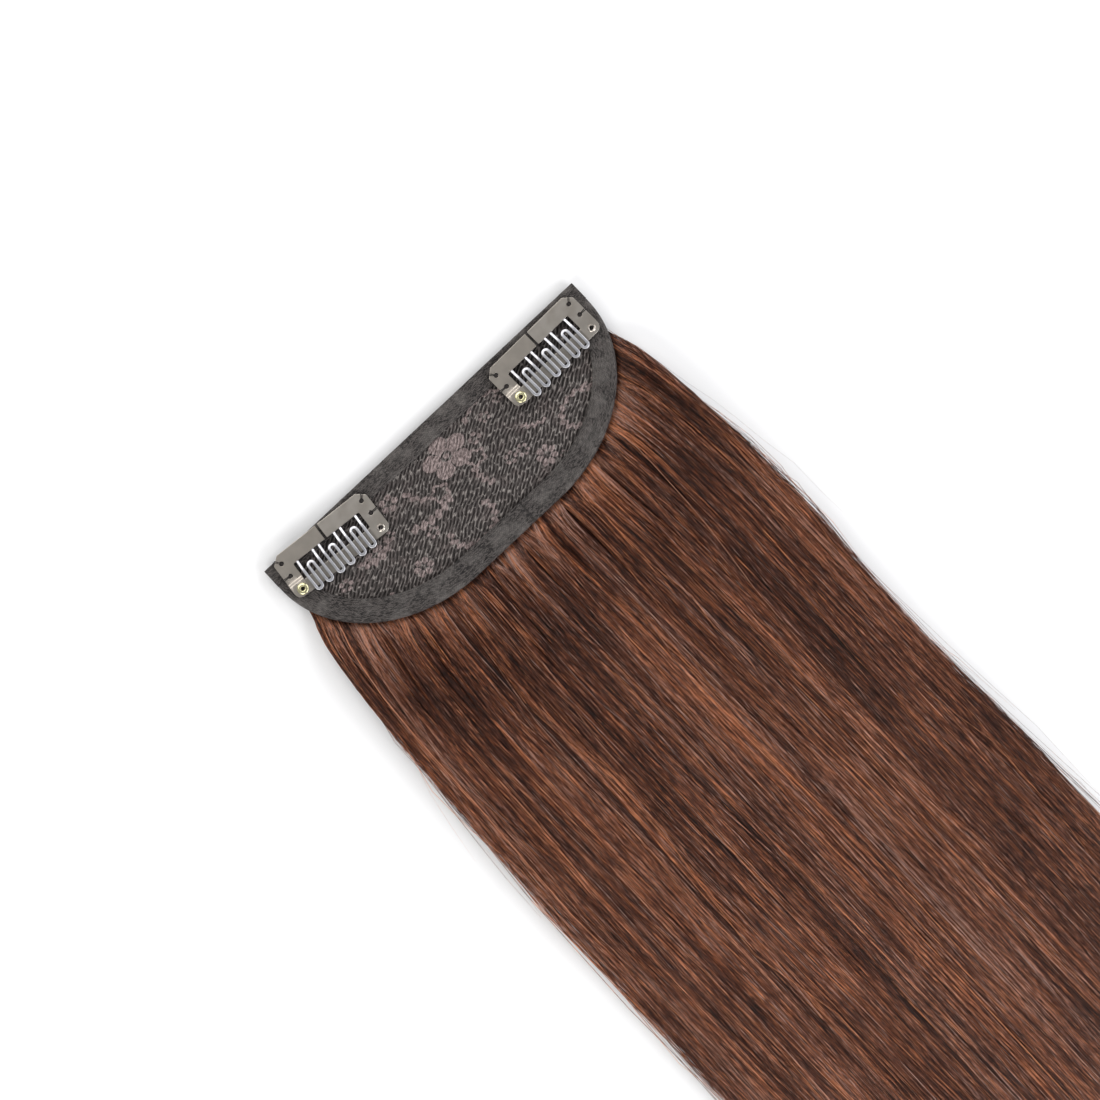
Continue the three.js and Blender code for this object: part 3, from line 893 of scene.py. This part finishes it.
def stitch_row(line, length=2.1, gap=0.55, rise=0.16):
    """Short raised stitches along a line of points."""
    along = length_along(line)
    stitches = []
    for start in np.arange(0.4, along[-1] - length, length + gap):
        spots = start + length * np.array((0, 0.12, 0.5, 0.88, 1))
        stitch = np.stack([np.interp(spots, along, line[:, axis]) for axis in range(3)], -1)
        stitch[:, 2] += rise * np.array((-1, 0.2, 0.7, 0.2, -1))
        stitches.append(stitch)
    return stitches


def tape_stitches(material):
    """Rows of machine stitches along the tapes, in one joined mesh."""
    outer, inner = edge_route()
    rows = []
    for share in (0.19, 0.86):
        row = between(outer, inner, share)
        lap = lap_height(row[:, 0], row[:, 0] - LAP_SPOT, -1.5, -1.1)
        rows += stitch_row(np.column_stack([row, STITCH_LEVEL + lap]))
    across = np.linspace(-BASE_HALF + 1, BASE_HALF - 1, 60)
    straight = np.broadcast_arrays(across, 1 - TOP_TAPE_WIDTH, STITCH_LEVEL)
    rows += stitch_row(np.stack(straight, -1))
    points, faces = tubes(rows, 0.13, 5)
    return add_piece("tape_stitches", points, faces, material, BASE)


# Flowers of the lace: x, depth, radius, petals, turn, share of the radius that is left in depth
BLOSSOMS = (
    (0.3, 13.4, 9, 5, 0.95, 0.78), (-24, 12, 3.6, 5, 0.2, 0.85), (-52, 22, 2.8, 5, 0.2, 0.8),
    (-38.5, 21.2, 4.6, 4, 0.75, 0.5), (-31, 20, 2.5, 5, 0.1, 0.7), (-29.5, 35, 3.8, 6, 0.3, 0.85),
    (-19.5, 28.8, 2.6, 5, 1, 0.8), (11, 15.5, 2.6, 4, 0.3, 0.8), (18, 12.6, 2.4, 5, 0.8, 0.8),
    (25, 11, 1.9, 4, 0.2, 0.8), (15.3, 28.4, 2.5, 5, 0.2, 0.95), (19.9, 29.2, 2.4, 6, 0.5, 1),
    (24.4, 35.8, 3.9, 7, 0.7, 0.95), (28.8, 39.4, 1.8, 4, 0.3, 0.8), (21.2, 39, 1.5, 4, 0.3, 0.8),
    (48.5, 28.2, 2.2, 5, 0.4, 0.8), (53, 27.5, 1.5, 4, 0.1, 0.8),
)

# Stems bent round an oval: x, depth, half width, half depth, first and last angle in degrees,
# number of leaves and the leaves' half width
SPRAYS = (
    (-8.3, 35.6, 8.4, 6, 150, 395, 11, 0.8), (43.5, 32, 7.8, 5.2, 0, 359, 15, 0.75),
    (-16, 10, 17, 15.6, 240, 302, 6, 1.3), (-38, 19, 6, 4.4, 185, 355, 6, 0.9),
    (-9.3, 20.8, 3, 2.3, 0, 359, 5, 0.35), (7.2, 20.5, 3, 2.3, 0, 359, 5, 0.35),
    (-6, 12, 12, 10, 183, 232, 3, 0.7), (12, 25, 8, 8, 160, 225, 4, 0.9),
    (20, 12, 9, 5, 20, 160, 5, 0.6), (-46, 30, 8, 5, 215, 300, 4, 0.7),
    (34, 22, 9, 5, 190, 260, 4, 0.6),
)


def motif_mask(x, y):
    """1 on the lace's flowers and leaves and 0 on the net between them."""
    mask = np.zeros_like(x)
    for middle, depth, radius, petals, turn, squash in BLOSSOMS:
        off_x = x - middle
        off_y = (y + depth) / squash
        near = np.hypot(off_x, off_y)
        petal = np.abs(np.cos((np.arctan2(off_y, off_x) + turn) * petals / 2))
        rim = radius * (0.62 + 0.38 * petal**0.7)
        vein = bell(petal * near, 0.75) * smooth(near, 0.15 * radius, 0.45 * radius)
        heart = bell(near - 0.17 * radius, 0.65)
        inside = 1 - smooth(near - rim, -0.5, 0.25)
        mask = np.maximum(mask, inside * (1 - 0.95 * vein) * (1 - 0.95 * heart))
    for middle, depth, half_width, half_depth, start, end, leaves, leaf_half in SPRAYS:
        off_x = (x - middle) / half_width
        off_y = (y + depth) / half_depth
        share = (np.degrees(np.arctan2(off_y, off_x)) - start) % 360 / (end - start)
        wave = np.abs(np.sin(np.pi * share * leaves))
        lean = 0.45 * np.sin(2 * np.pi * share * leaves)
        off_stem = np.abs((np.hypot(off_x, off_y) - 1) * (half_width + half_depth) / 2 - lean)
        leafy = 1 - smooth(off_stem - 0.3 - leaf_half * wave, -0.35, 0.25)
        mask = np.maximum(mask, leafy * (share <= 1))
    return mask


def lace(material, spacing):
    """The half moon of lace, with its ribs, holes and flowers as relief on a closed sheet."""
    half = BASE_HALF - LACE_INSET
    columns = int(2 * half / spacing)
    rows = int((BASE_DEPTH - 2 * LACE_INSET) / spacing)
    x = np.linspace(-half, half, columns)[None]
    share = np.linspace(0, 1, rows)[:, None]
    y = -between(LACE_INSET, edge_depth(x, LACE_INSET), share)
    x = np.broadcast_to(x, y.shape)
    motif = motif_mask(x, y)
    open_cloth = smooth(-y, TOP_TAPE_WIDTH - 1, TOP_TAPE_WIDTH + 1)
    thread = smooth(net_gap(x, y, np), -0.2, 0.3)
    sag = 0.16 * np.sin(x * 0.13 + y * 0.05) + 0.12 * np.sin(x * 0.05 - y * 0.21 + 1) - 0.1
    z = LACE_FACE + open_cloth * ((thread - 0.6) * 0.34 * (1 - 0.7 * motif) + 0.3 * motif + sag)
    grid = np.stack([x, y, np.minimum(z, TAPE_FOOT + 0.1)], -1)
    points, faces = relief(grid, LACE_FOOT - 0.45)
    plan = points * (1, 1, 0)
    motif = np.concatenate([motif.ravel(), np.zeros(len(points) - motif.size)])
    return add_piece("lace_net", points, faces, material, BASE, plan, mend=False, motif=motif)


def lock_run(lock, depth):
    """Centre, width and top height of locks at a depth in front of the straight edge."""
    place = PLACE[lock]
    tip = place * TIP_HALF + SWAY[lock]
    start = 0.4 * edge_depth(place * ROOT_HALF)
    share = np.clip((depth - start) / (BASE_DEPTH + HAIR_REACH * REACH[lock] - start), 0, 1)
    spread = smooth(depth, start, 2 * BASE_DEPTH)
    centre = between(place * between(ROOT_HALF, FULL_HALF, spread), tip, smooth(share, 0.2, 1))
    width = between(LOCK_WIDTH, LOCK_TIP_WIDTH, share**9)
    return centre, width, hair_top(depth, share, BULK[lock])


def hair_top(depth, share, bulk):
    under_base = BASE_FOOT + depth * SLOPE - SOFT_GAP
    past = np.clip((depth - BASE_DEPTH) / (3 * LOCK_HEIGHT), 0, 1)
    full = between(under_base, LOCK_HEIGHT * bulk, past)
    return between(full, LOCK_TIP_HEIGHT, smooth(share, 0.3, 1))


def hair_bed(material):
    """Dense hair under the loose strands, one solid that fills the locks from below."""
    u = np.linspace(-1, 1, 121)[None]
    v = np.linspace(0, 1, 130)[:, None] ** 1.2
    start = between(4, 12, np.abs(u) ** 3)
    end = BASE_DEPTH + HAIR_REACH * (np.interp(u[0], PLACE, REACH)[None] - 0.23)
    depth = between(start, end, v)
    side = LOCK_WIDTH * 0.44
    half = between(ROOT_HALF, FULL_HALF, smooth(depth, start, 2 * BASE_DEPTH))
    x = u * (between(half, TIP_HALF - 3, smooth(v, 0.2, 1)) + side)
    top = np.zeros_like(x)
    for lock in range(len(LOCKS)):
        centre, width, height = lock_run(lock, depth)
        across = np.abs(x - centre) / width
        section = np.interp(across, (0, 0.26, 0.47, 0.5), (1, 0.87, 0.45, 0))
        top = np.maximum(top, height * section)
    settle = 0.86 * (1 - smooth(v, 0.86, 1)) + 0.04
    rim = smooth(np.abs(u), 0.93, 1) * 0.75
    z = np.maximum(top * settle * (1 - rim), 0.12)
    grid = np.stack([x, BASE_LINE - depth, z], -1)
    points, faces = relief(grid, 0.02)
    ripple = 0.18 + 0.1 * np.sin(points[:, 0] * 1.7) + 0.05 * np.sin(points[:, 0] * 4.3)
    return add_piece("hair_bed", points, faces, material, mend=False, tone=ripple, warmth=ripple * 2)


def strand_lines(count, rng, stray):
    """Points of strands, (count, rings, 3), the tone at each point and each strand's warmth.

    stray is 0 for strands that lie in the locks and 1 for flyaways.
    """
    lock = rng.integers(0, len(LOCKS), count)
    at_side = rng.random(count) < 0.03 + 0.3 * stray
    lock = np.where(at_side, (len(LOCKS) - 1) * (lock % 2), lock)
    clump = rng.integers(0, CLUMPS_PER_LOCK, count)
    key = lock * CLUMPS_PER_LOCK + clump
    clumps = len(LOCKS) * CLUMPS_PER_LOCK
    draws = np.random.default_rng(7).random((clumps, 8))[key]
    group = np.random.default_rng(11).random((clumps, 2))[key // CLUMPS_PER_TUFT]
    across = (clump + 0.5) / CLUMPS_PER_LOCK - 0.5 + rng.normal(0, 0.035, count)
    across = np.clip(across * 0.94, -0.49, 0.49)
    place = PLACE[lock]
    root_x = place * ROOT_HALF + across * LOCK_WIDTH
    edge = edge_depth(root_x)
    start = np.maximum(edge - rng.uniform(2, 6.5, count), 1.5)
    length = 1 - 0.17 * rng.random(count) ** 1.6 - 0.25 * (rng.random(count) < 0.1) * rng.random(count)
    length = length - 0.08 * draws[:, 7]
    length = length * (1 - stray * 0.85 * rng.random(count))
    end = BASE_DEPTH + HAIR_REACH * REACH[lock] * length
    rings = between(RINGS, np.linspace(0, 1, len(RINGS)), stray * 0.6)
    depth = between(start[:, None], end[:, None], rings)
    past = np.maximum(depth - edge[:, None], 0)
    share = (depth - start[:, None]) / (end - start)[:, None]
    centre, width, top = lock_run(lock[:, None], depth)
    width = width + 8 * smooth(depth, BASE_DEPTH + 0.65 * HAIR_REACH, BASE_DEPTH + HAIR_REACH)

    # Sideways: waves shared by a clump, a drift of each strand's own, and tufts near the tape
    wavelength = (85 + 130 * draws[:, 0])[:, None]
    wave = (0.4 + 1.2 * draws[:, 1])[:, None] * np.sin(depth / wavelength * 2 * np.pi + 6.3 * draws[:, 2:3])
    wave = (wave + 1.6 * np.sin(depth / 150 + 2.2 * place[:, None])) * smooth(past, 15, 130)
    drift = rng.normal(0, 1 + 3 * (rng.random(count) < 0.1 + stray), count)[:, None] * share**1.2
    curl = stray * rng.normal(0, 1.8, count)[:, None] * np.sin(depth / 17 + 6.3 * rng.random(count)[:, None])
    drift = drift + curl * smooth(past, 4, 40)
    drift = drift - stray * 2 * place[:, None] * smooth(past, 0, 30) * rng.random(count)[:, None]
    fan = 3.2 * np.sign(root_x) * np.clip((np.abs(root_x) - BASE_FLAT_HALF) / 50, 0, 1) ** 2
    tuft = rng.normal(0, 0.4, count) + 2.2 * (draws[:, 6] - 0.5) + 4 * (group[:, 0] - 0.5)
    tuft = tuft * (1 - 0.7 * place**4)
    sideways = wave + drift + fan[:, None] * hump(past, 24) + tuft[:, None] * hump(past, 11)
    mixed = rng.normal(0, 1, (count, len(RINGS))) * np.where(rng.random(count) < 0.4, 0.8, 0.25)[:, None]
    x = centre + across[:, None] * width + sideways + mixed * smooth(past, 20, 50)

    # Upwards: a puff where the hair leaves the tape, then slow swells
    puff = (0.3 + 2.8 * draws[:, 3] + rng.normal(0, 0.35, count))[:, None] * hump(past, 12)
    sink = rng.random(count)[:, None] ** 1.5 * 0.2
    crown = 0.86 + 0.14 * np.cos(np.pi * across)[:, None]
    swell = 0.5 * draws[:, 4:5] + 0.35 * np.sin(depth / 30 + 6.3 * draws[:, 7:8])
    z = np.maximum(top * crown * (1 - sink) + puff + swell * smooth(past, 20, 60), 0.15)

    # Colour: lighter tufts at the roots as painted highlight, then a darker band of painted shade
    warmth = 0.55 + 0.5 * (draws[:, 2] - 0.5) + rng.normal(0, 0.35, count)
    tone = 0.22 + 0.42 * draws[:, 5] + rng.normal(0, 0.17, count)
    tone = tone + np.where(rng.random(count) < 0.1, 0.3, 0) - np.where(rng.random(count) < 0.15, 0.25, 0)
    # Painted shade: strands that sink deeper in the lock are darker, and the hair is a little darker towards +x
    tone = tone - 0.06 * place - 0.25 * sink[:, 0]
    # Painted highlight on the tufts that puff up at the roots, fading within a few millimetres, then painted shade
    # about 30 mm past the tape
    lit = 0.6 * draws[:, 3:4] + 0.8 * group[:, 1:] - 0.55
    root_light_and_shade = lit * np.exp(-past / 13) - 0.16 * bell(past - 30, 15)
    return np.stack([x, BASE_LINE - depth, z], -1), tone[:, None] + root_light_and_shade, warmth


def strand_mesh(name, lines, tone, warmth, radius, material):
    """Three-sided closed tubes along the lines, in one mesh, each with its own cell of the bake map."""
    count, rings = lines.shape[:2]
    ahead = np.gradient(lines, axis=1)
    side = np.stack([ahead[..., 1], -ahead[..., 0], np.zeros((count, rings))], -1)
    side /= np.linalg.norm(side, axis=-1)[..., None]
    over = np.cross(side, ahead)
    over /= np.linalg.norm(over, axis=-1)[..., None]
    angles = 2 * np.pi * (np.arange(3) / 3 + 0.25)
    reach = (radius[:, None] * TAPER)[..., None, None]
    ring = side[:, :, None] * np.cos(angles)[:, None] + over[:, :, None] * np.sin(angles)[:, None]
    points = lines[:, :, None] + reach * ring
    index = np.arange(count * rings * 3).reshape(count, rings, 3)
    turn = np.roll(index, -1, 2)
    corners = (index[:, :-1], index[:, 1:], turn[:, 1:], turn[:, :-1])
    quads = np.stack(corners, -1).reshape(count, -1, 4)
    caps = np.stack([index[:, 0], index[:, -1, ::-1]], 1)
    faces = [f for q, c in zip(quads.tolist(), caps.tolist()) for f in q + c]
    kept = {"tone": np.repeat(tone, 3), "warmth": np.repeat(warmth, 3 * rings)}
    piece = add_piece(name, points, faces, material, mend=False, **kept)
    piece.data.uv_layers.new(name="OFBake").data.foreach_set("uv", strand_cells(count, rings))
    return piece


def strand_cells(count, rings):
    """Each strand's own rectangle of the square, unrolled, for the corners of its faces in order."""
    columns = math.ceil(math.sqrt(count))
    level = np.arange(rings - 1)[:, None, None]
    side = np.arange(3)[None, :, None]
    u = side + np.array((0, 0, 1, 1))
    v = level + np.array((0, 1, 1, 0))
    u, v = np.broadcast_arrays(u, v)
    strip = np.stack([0.08 + 0.84 * u / 3, 0.1 + 0.82 * v / (rings - 1)], -1).reshape(-1, 2)
    cap = np.array([(0.1, 0.02), (0.5, 0.02), (0.3, 0.07), (0.6, 0.02), (0.9, 0.02), (0.75, 0.07)])
    cell = np.vstack([strip, cap])
    corner = np.stack([np.arange(count) % columns, np.arange(count) // columns], -1)
    return ((corner[:, None] + cell) / columns).astype(np.float32).ravel()


def area_light(name, spot, aim, size, watts, colour):
    data = bpy.data.lights.new(name, "AREA")
    data.shape = "RECTANGLE"
    data.size, data.size_y = size
    data.energy = watts
    data.color = colour
    lamp = bpy.data.objects.new(name, data)
    bpy.context.collection.objects.link(lamp)
    lamp.location = spot
    lamp.rotation_euler = (Vector(aim) - Vector(spot)).to_track_quat("-Z", "Y").to_euler()


class WeftSizes(bpy.types.PropertyGroup):
    lace_spacing: FloatProperty(
        name="Lace spacing", description="Distance between the points of the lace's relief",
        default=0.34 * MM, min=0.1 * MM, unit="LENGTH", subtype="DISTANCE", precision=5)
    strand_radius: FloatProperty(
        name="Strand radius", description="Middle radius of a modelled strand of hair",
        default=0.085 * MM, min=0.02 * MM, unit="LENGTH", subtype="DISTANCE", precision=5)
    strands_per_piece: IntProperty(
        name="Strands per piece", description="Strands in each of the joined pieces of hair",
        default=2600, min=10, max=2900)
    strand_pieces: IntProperty(
        name="Strand pieces", description="Joined pieces that the strands are shared between",
        default=4, min=1)
    flyaways: IntProperty(
        name="Flyaways", description="Fine loose hairs that stray from the locks", default=600, min=0)


def tint(name, description, *display):
    """A colour that the panel offers, from its display colour."""
    return FloatVectorProperty(
        name=name, description=description, default=linear(*display), size=3, min=0, max=1, subtype="COLOR")


class WeftColours(bpy.types.PropertyGroup):
    hair_dark: tint("Dark hair", "Deepest brown of the hair", 28, 14, 9)
    hair_shade: tint("Shaded hair", "Chocolate brown of most strands", 80, 42, 28)
    hair: tint("Hair", "Lit brown of the warmer strands", 150, 86, 54)
    # Copper and mauve, the lightest hair colours, are partly painted highlight
    hair_copper: tint("Copper hair", "Copper of the warmer strands where lightest", 228, 150, 102)
    hair_cool: tint("Cool hair", "Lit brown of the cooler strands", 130, 88, 72)
    hair_mauve_glint: tint("Mauve hair", "Mauve of the cooler strands where lightest", 208, 172, 158)
    lace_thread: tint("Lace thread", "Grey of the net", 63, 58, 56)
    lace_gleam: tint("Lace gleam", "Lighter grey where the net catches the light", 146, 139, 134)
    lace_hole: tint("Lace holes", "Dark of the gaps in the net", 26, 22, 20)
    motif: tint("Flowers", "Mauve grey of the flowers", 162, 146, 143)
    motif_shade: tint("Flower shade", "Darker thread of the flowers", 92, 80, 78)
    tape: tint("Tape", "Grey of the woven tapes", 92, 86, 83)
    tape_shade: tint("Tape shade", "Darker threads of the tapes", 20, 17, 16)
    tape_light: tint("Tape light", "Worn threads of the tapes", 124, 119, 115)
    thread: tint("Sewing thread", "Thread that holds the clips", 34, 28, 26)
    steel: tint("Steel", "Satin steel of the clips", 204, 197, 188)
    steel_shade: tint("Steel shade", "Duller patches of the steel", 190, 182, 172)
    # The teeth's steel is lighter than the plates', partly its own plating and partly painted highlight along the
    # teeth
    teeth: tint("Teeth", "Brighter steel of the teeth", 216, 216, 220)
    teeth_shade: tint("Teeth shade", "Duller patches of the teeth", 198, 198, 203)
    brass: tint("Brass", "Pale brass of the eyelets", 230, 224, 180)
    floor: tint("Table", "White table below the weft", 250.46, 250.46, 250.46)


class WEFT_OT_hair_bed(bpy.types.Operator):
    """Makes the dense hair under the strands"""

    bl_idname = "weft.hair_bed"
    bl_label = "Hair bed"

    def execute(self, context):
        bed = hair_bed(hair_finish(context.scene.weft_colours))
        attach(bed, "root")
        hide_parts("hair")
        return {"FINISHED"}


class WEFT_OT_strands(bpy.types.Operator):
    """Makes the strands of hair, in a few joined pieces, and the flyaway hairs"""

    bl_idname = "weft.strands"
    bl_label = "Strands"

    def execute(self, context):
        sizes = context.scene.weft_sizes
        material = bpy.data.materials["brown_hair"]
        rng = np.random.default_rng(31)
        radius = sizes.strand_radius / MM
        names = [f"hair_strands_{i + 1}" for i in range(sizes.strand_pieces)]
        runs = [(name, sizes.strands_per_piece, 0, radius) for name in names]
        runs.append(("hair_flyaways", sizes.flyaways, 1, radius * FLYAWAY_THICKNESS))
        for name, count, stray, middle in runs:
            lines, tone, warmth = strand_lines(count, rng, stray)
            lines[..., 2] += FLYAWAY_RISE * stray
            thickness = middle * (0.65 + 1.15 * rng.random(count) ** 2)
            tone = tone + FLYAWAY_LIGHTER * stray
            piece = strand_mesh(name, lines, tone, warmth, thickness, material)
            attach(piece, "root")
            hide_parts("hair")
        return {"FINISHED"}


class WEFT_OT_lace(bpy.types.Operator):
    """Makes the lace of the base"""

    bl_idname = "weft.lace"
    bl_label = "Lace"

    def execute(self, context):
        net = lace(lace_finish(context.scene.weft_colours), context.scene.weft_sizes.lace_spacing / MM)
        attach(net, "root")
        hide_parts("lace_base")
        return {"FINISHED"}


class WEFT_OT_tapes(bpy.types.Operator):
    """Makes both woven tapes and their stitches"""

    bl_idname = "weft.tapes"
    bl_label = "Tapes"

    def execute(self, context):
        colours = context.scene.weft_colours
        cloth = tape_finish(colours)
        stitches = tape_stitches(thread_finish("tape_thread", colours.tape))
        made = {"top_tape": top_tape(cloth), "edge_tape": edge_tape(cloth)}
        for node, piece in made.items():
            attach(piece, "root")
            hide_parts(node)
        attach(stitches, "root")
        return {"FINISHED"}


class WEFT_OT_clips(bpy.types.Operator):
    """Makes both snap comb clips: plates, eyelet and combs"""

    bl_idname = "weft.clips"
    bl_label = "Clips"

    def execute(self, context):
        colours = context.scene.weft_colours
        # The eyelet plates get a darker, slightly rougher copy of the satin steel
        duller = [c * 0.9 for c in colours.steel_shade]
        # The fourth number of each plate steel is its painted shadow below the teeth
        steel = steel_finish("satin_steel", colours.steel, colours.steel_shade, 0.4, 0.24)
        dull = steel_finish("darker_steel", colours.steel_shade, duller, 0.55, 0.26)
        # Lighter steel for the teeth, partly painted highlight
        teeth_steel = steel_finish("lightened_teeth_steel", colours.teeth, colours.teeth_shade, 0, 0.34)
        brass = brass_finish(colours)
        for side, joint in CLIPS.items():
            clip = f"{side}_clip"
            place = clip_frame(clip, joint)
            plates = (
                (eyelet_plate, "eyelet_plate", dull, "clip_steel"),
                (cross_bar_plate, "cross_bar_plate", steel, "clip_steel"),
                (eyelet, "eyelet", brass, "brass_eyelet"),
            )
            for make, part, material, slot in plates:
                piece = make(f"{clip}_{part}_sheet", material, place)
                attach(piece, "root")
                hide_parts(f"{clip}_{part}")
            for i in range(3):
                middle = (i - 1) * COMB_PITCH
                piece = comb(f"{clip}_comb_{i + 1}_teeth", middle, teeth_steel, place)
                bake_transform(piece)
                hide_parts(f"{clip}_comb_{i + 1}")
        return {"FINISHED"}


class WEFT_OT_sewing(bpy.types.Operator):
    """Makes the thread that sews the clips on"""

    bl_idname = "weft.sewing"
    bl_label = "Sewing"

    def execute(self, context):
        material = thread_finish("dark_thread", context.scene.weft_colours.thread)
        for side, joint in CLIPS.items():
            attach(sewing(f"{side}_clip_thread", material, clip_frame(f"{side}_clip", joint)), "root")
        return {"FINISHED"}


class WEFT_OT_stage(bpy.types.Operator):
    """Makes the table, the soft lights and the camera above the weft"""

    bl_idname = "weft.stage"
    bl_label = "Stage"

    def execute(self, context):
        corners = [(x * FLOOR_HALF, y * FLOOR_HALF, 0) for x, y in ((-1, -1), (1, -1), (1, 1), (-1, 1))]
        material = floor_finish(context.scene.weft_colours)
        floor = add_piece("white_floor", corners, [(0, 1, 2, 3)], material, mend=False)
        floor.location.z = -FLOOR_DROP * MM

        world = bpy.data.worlds.new("studio")
        world.use_nodes = True
        backdrop = world.node_tree.nodes["Background"].inputs
        backdrop["Color"].default_value = (0.95, 0.97, 1, 1)
        backdrop["Strength"].default_value = 0.26
        context.scene.world = world
        centre = (0, 0.1, 0)
        area_light("key_softbox", (0, 1.2, 0.85), centre, (1.3, 0.8), 10, (1, 0.98, 0.96))
        area_light("right_softbox", (1.2, 0.1, 0.7), centre, (1, 0.7), 8, (0.96, 0.97, 1))
        area_light("left_softbox", (-1.1, -0.5, 0.8), centre, (1, 0.7), 11, (1, 0.99, 0.98))
        area_light("low_softbox", (0.5, -1.1, 0.8), centre, (1.2, 0.6), 14, (0.98, 0.98, 1))

        data = bpy.data.cameras.new("above")
        data.lens = LENS
        data.sensor_width = SENSOR
        camera = bpy.data.objects.new("above", data)
        context.collection.objects.link(camera)
        camera.matrix_world = camera_place()
        context.scene.camera = camera
        context.scene.view_settings.view_transform = "Standard"
        return {"FINISHED"}


def camera_place():
    """Straight above, turned so that the hair runs down to the right."""
    distance = VIEW_WIDTH * LENS / SENSOR
    place = Matrix.Rotation(VIEW_TURN, 4, "Z")
    place.translation = Vector((*VIEW_MIDDLE, distance + VIEW_LEVEL)) * MM
    return place


class WEFT_PT_panel(bpy.types.Panel):
    """Lists the weft's sizes, colours and operators"""

    bl_idname = "WEFT_PT_panel"
    bl_label = "Hair weft"
    bl_space_type = "VIEW_3D"
    bl_region_type = "UI"
    bl_category = "Weft"

    def draw(self, context):
        for group in (context.scene.weft_sizes, context.scene.weft_colours):
            for name in group.__annotations__:
                self.layout.prop(group, name)
        for maker in OPERATORS:
            self.layout.operator(maker.bl_idname)


OPERATORS = (
    WEFT_OT_stage,
    WEFT_OT_hair_bed,
    WEFT_OT_strands,
    WEFT_OT_lace,
    WEFT_OT_tapes,
    WEFT_OT_clips,
    WEFT_OT_sewing,
)
CLASSES = (WeftSizes, WeftColours, *OPERATORS, WEFT_PT_panel)


def register():
    for item in CLASSES:
        bpy.utils.register_class(item)
    bpy.types.Scene.weft_sizes = PointerProperty(type=WeftSizes)
    bpy.types.Scene.weft_colours = PointerProperty(type=WeftColours)


def unregister():
    del bpy.types.Scene.weft_colours
    del bpy.types.Scene.weft_sizes
    for item in reversed(CLASSES):
        bpy.utils.unregister_class(item)


def main():
    register()
    for maker in OPERATORS:
        group, name = maker.bl_idname.split(".")
        getattr(getattr(bpy.ops, group), name)()


if __name__ == "__main__":
    main()
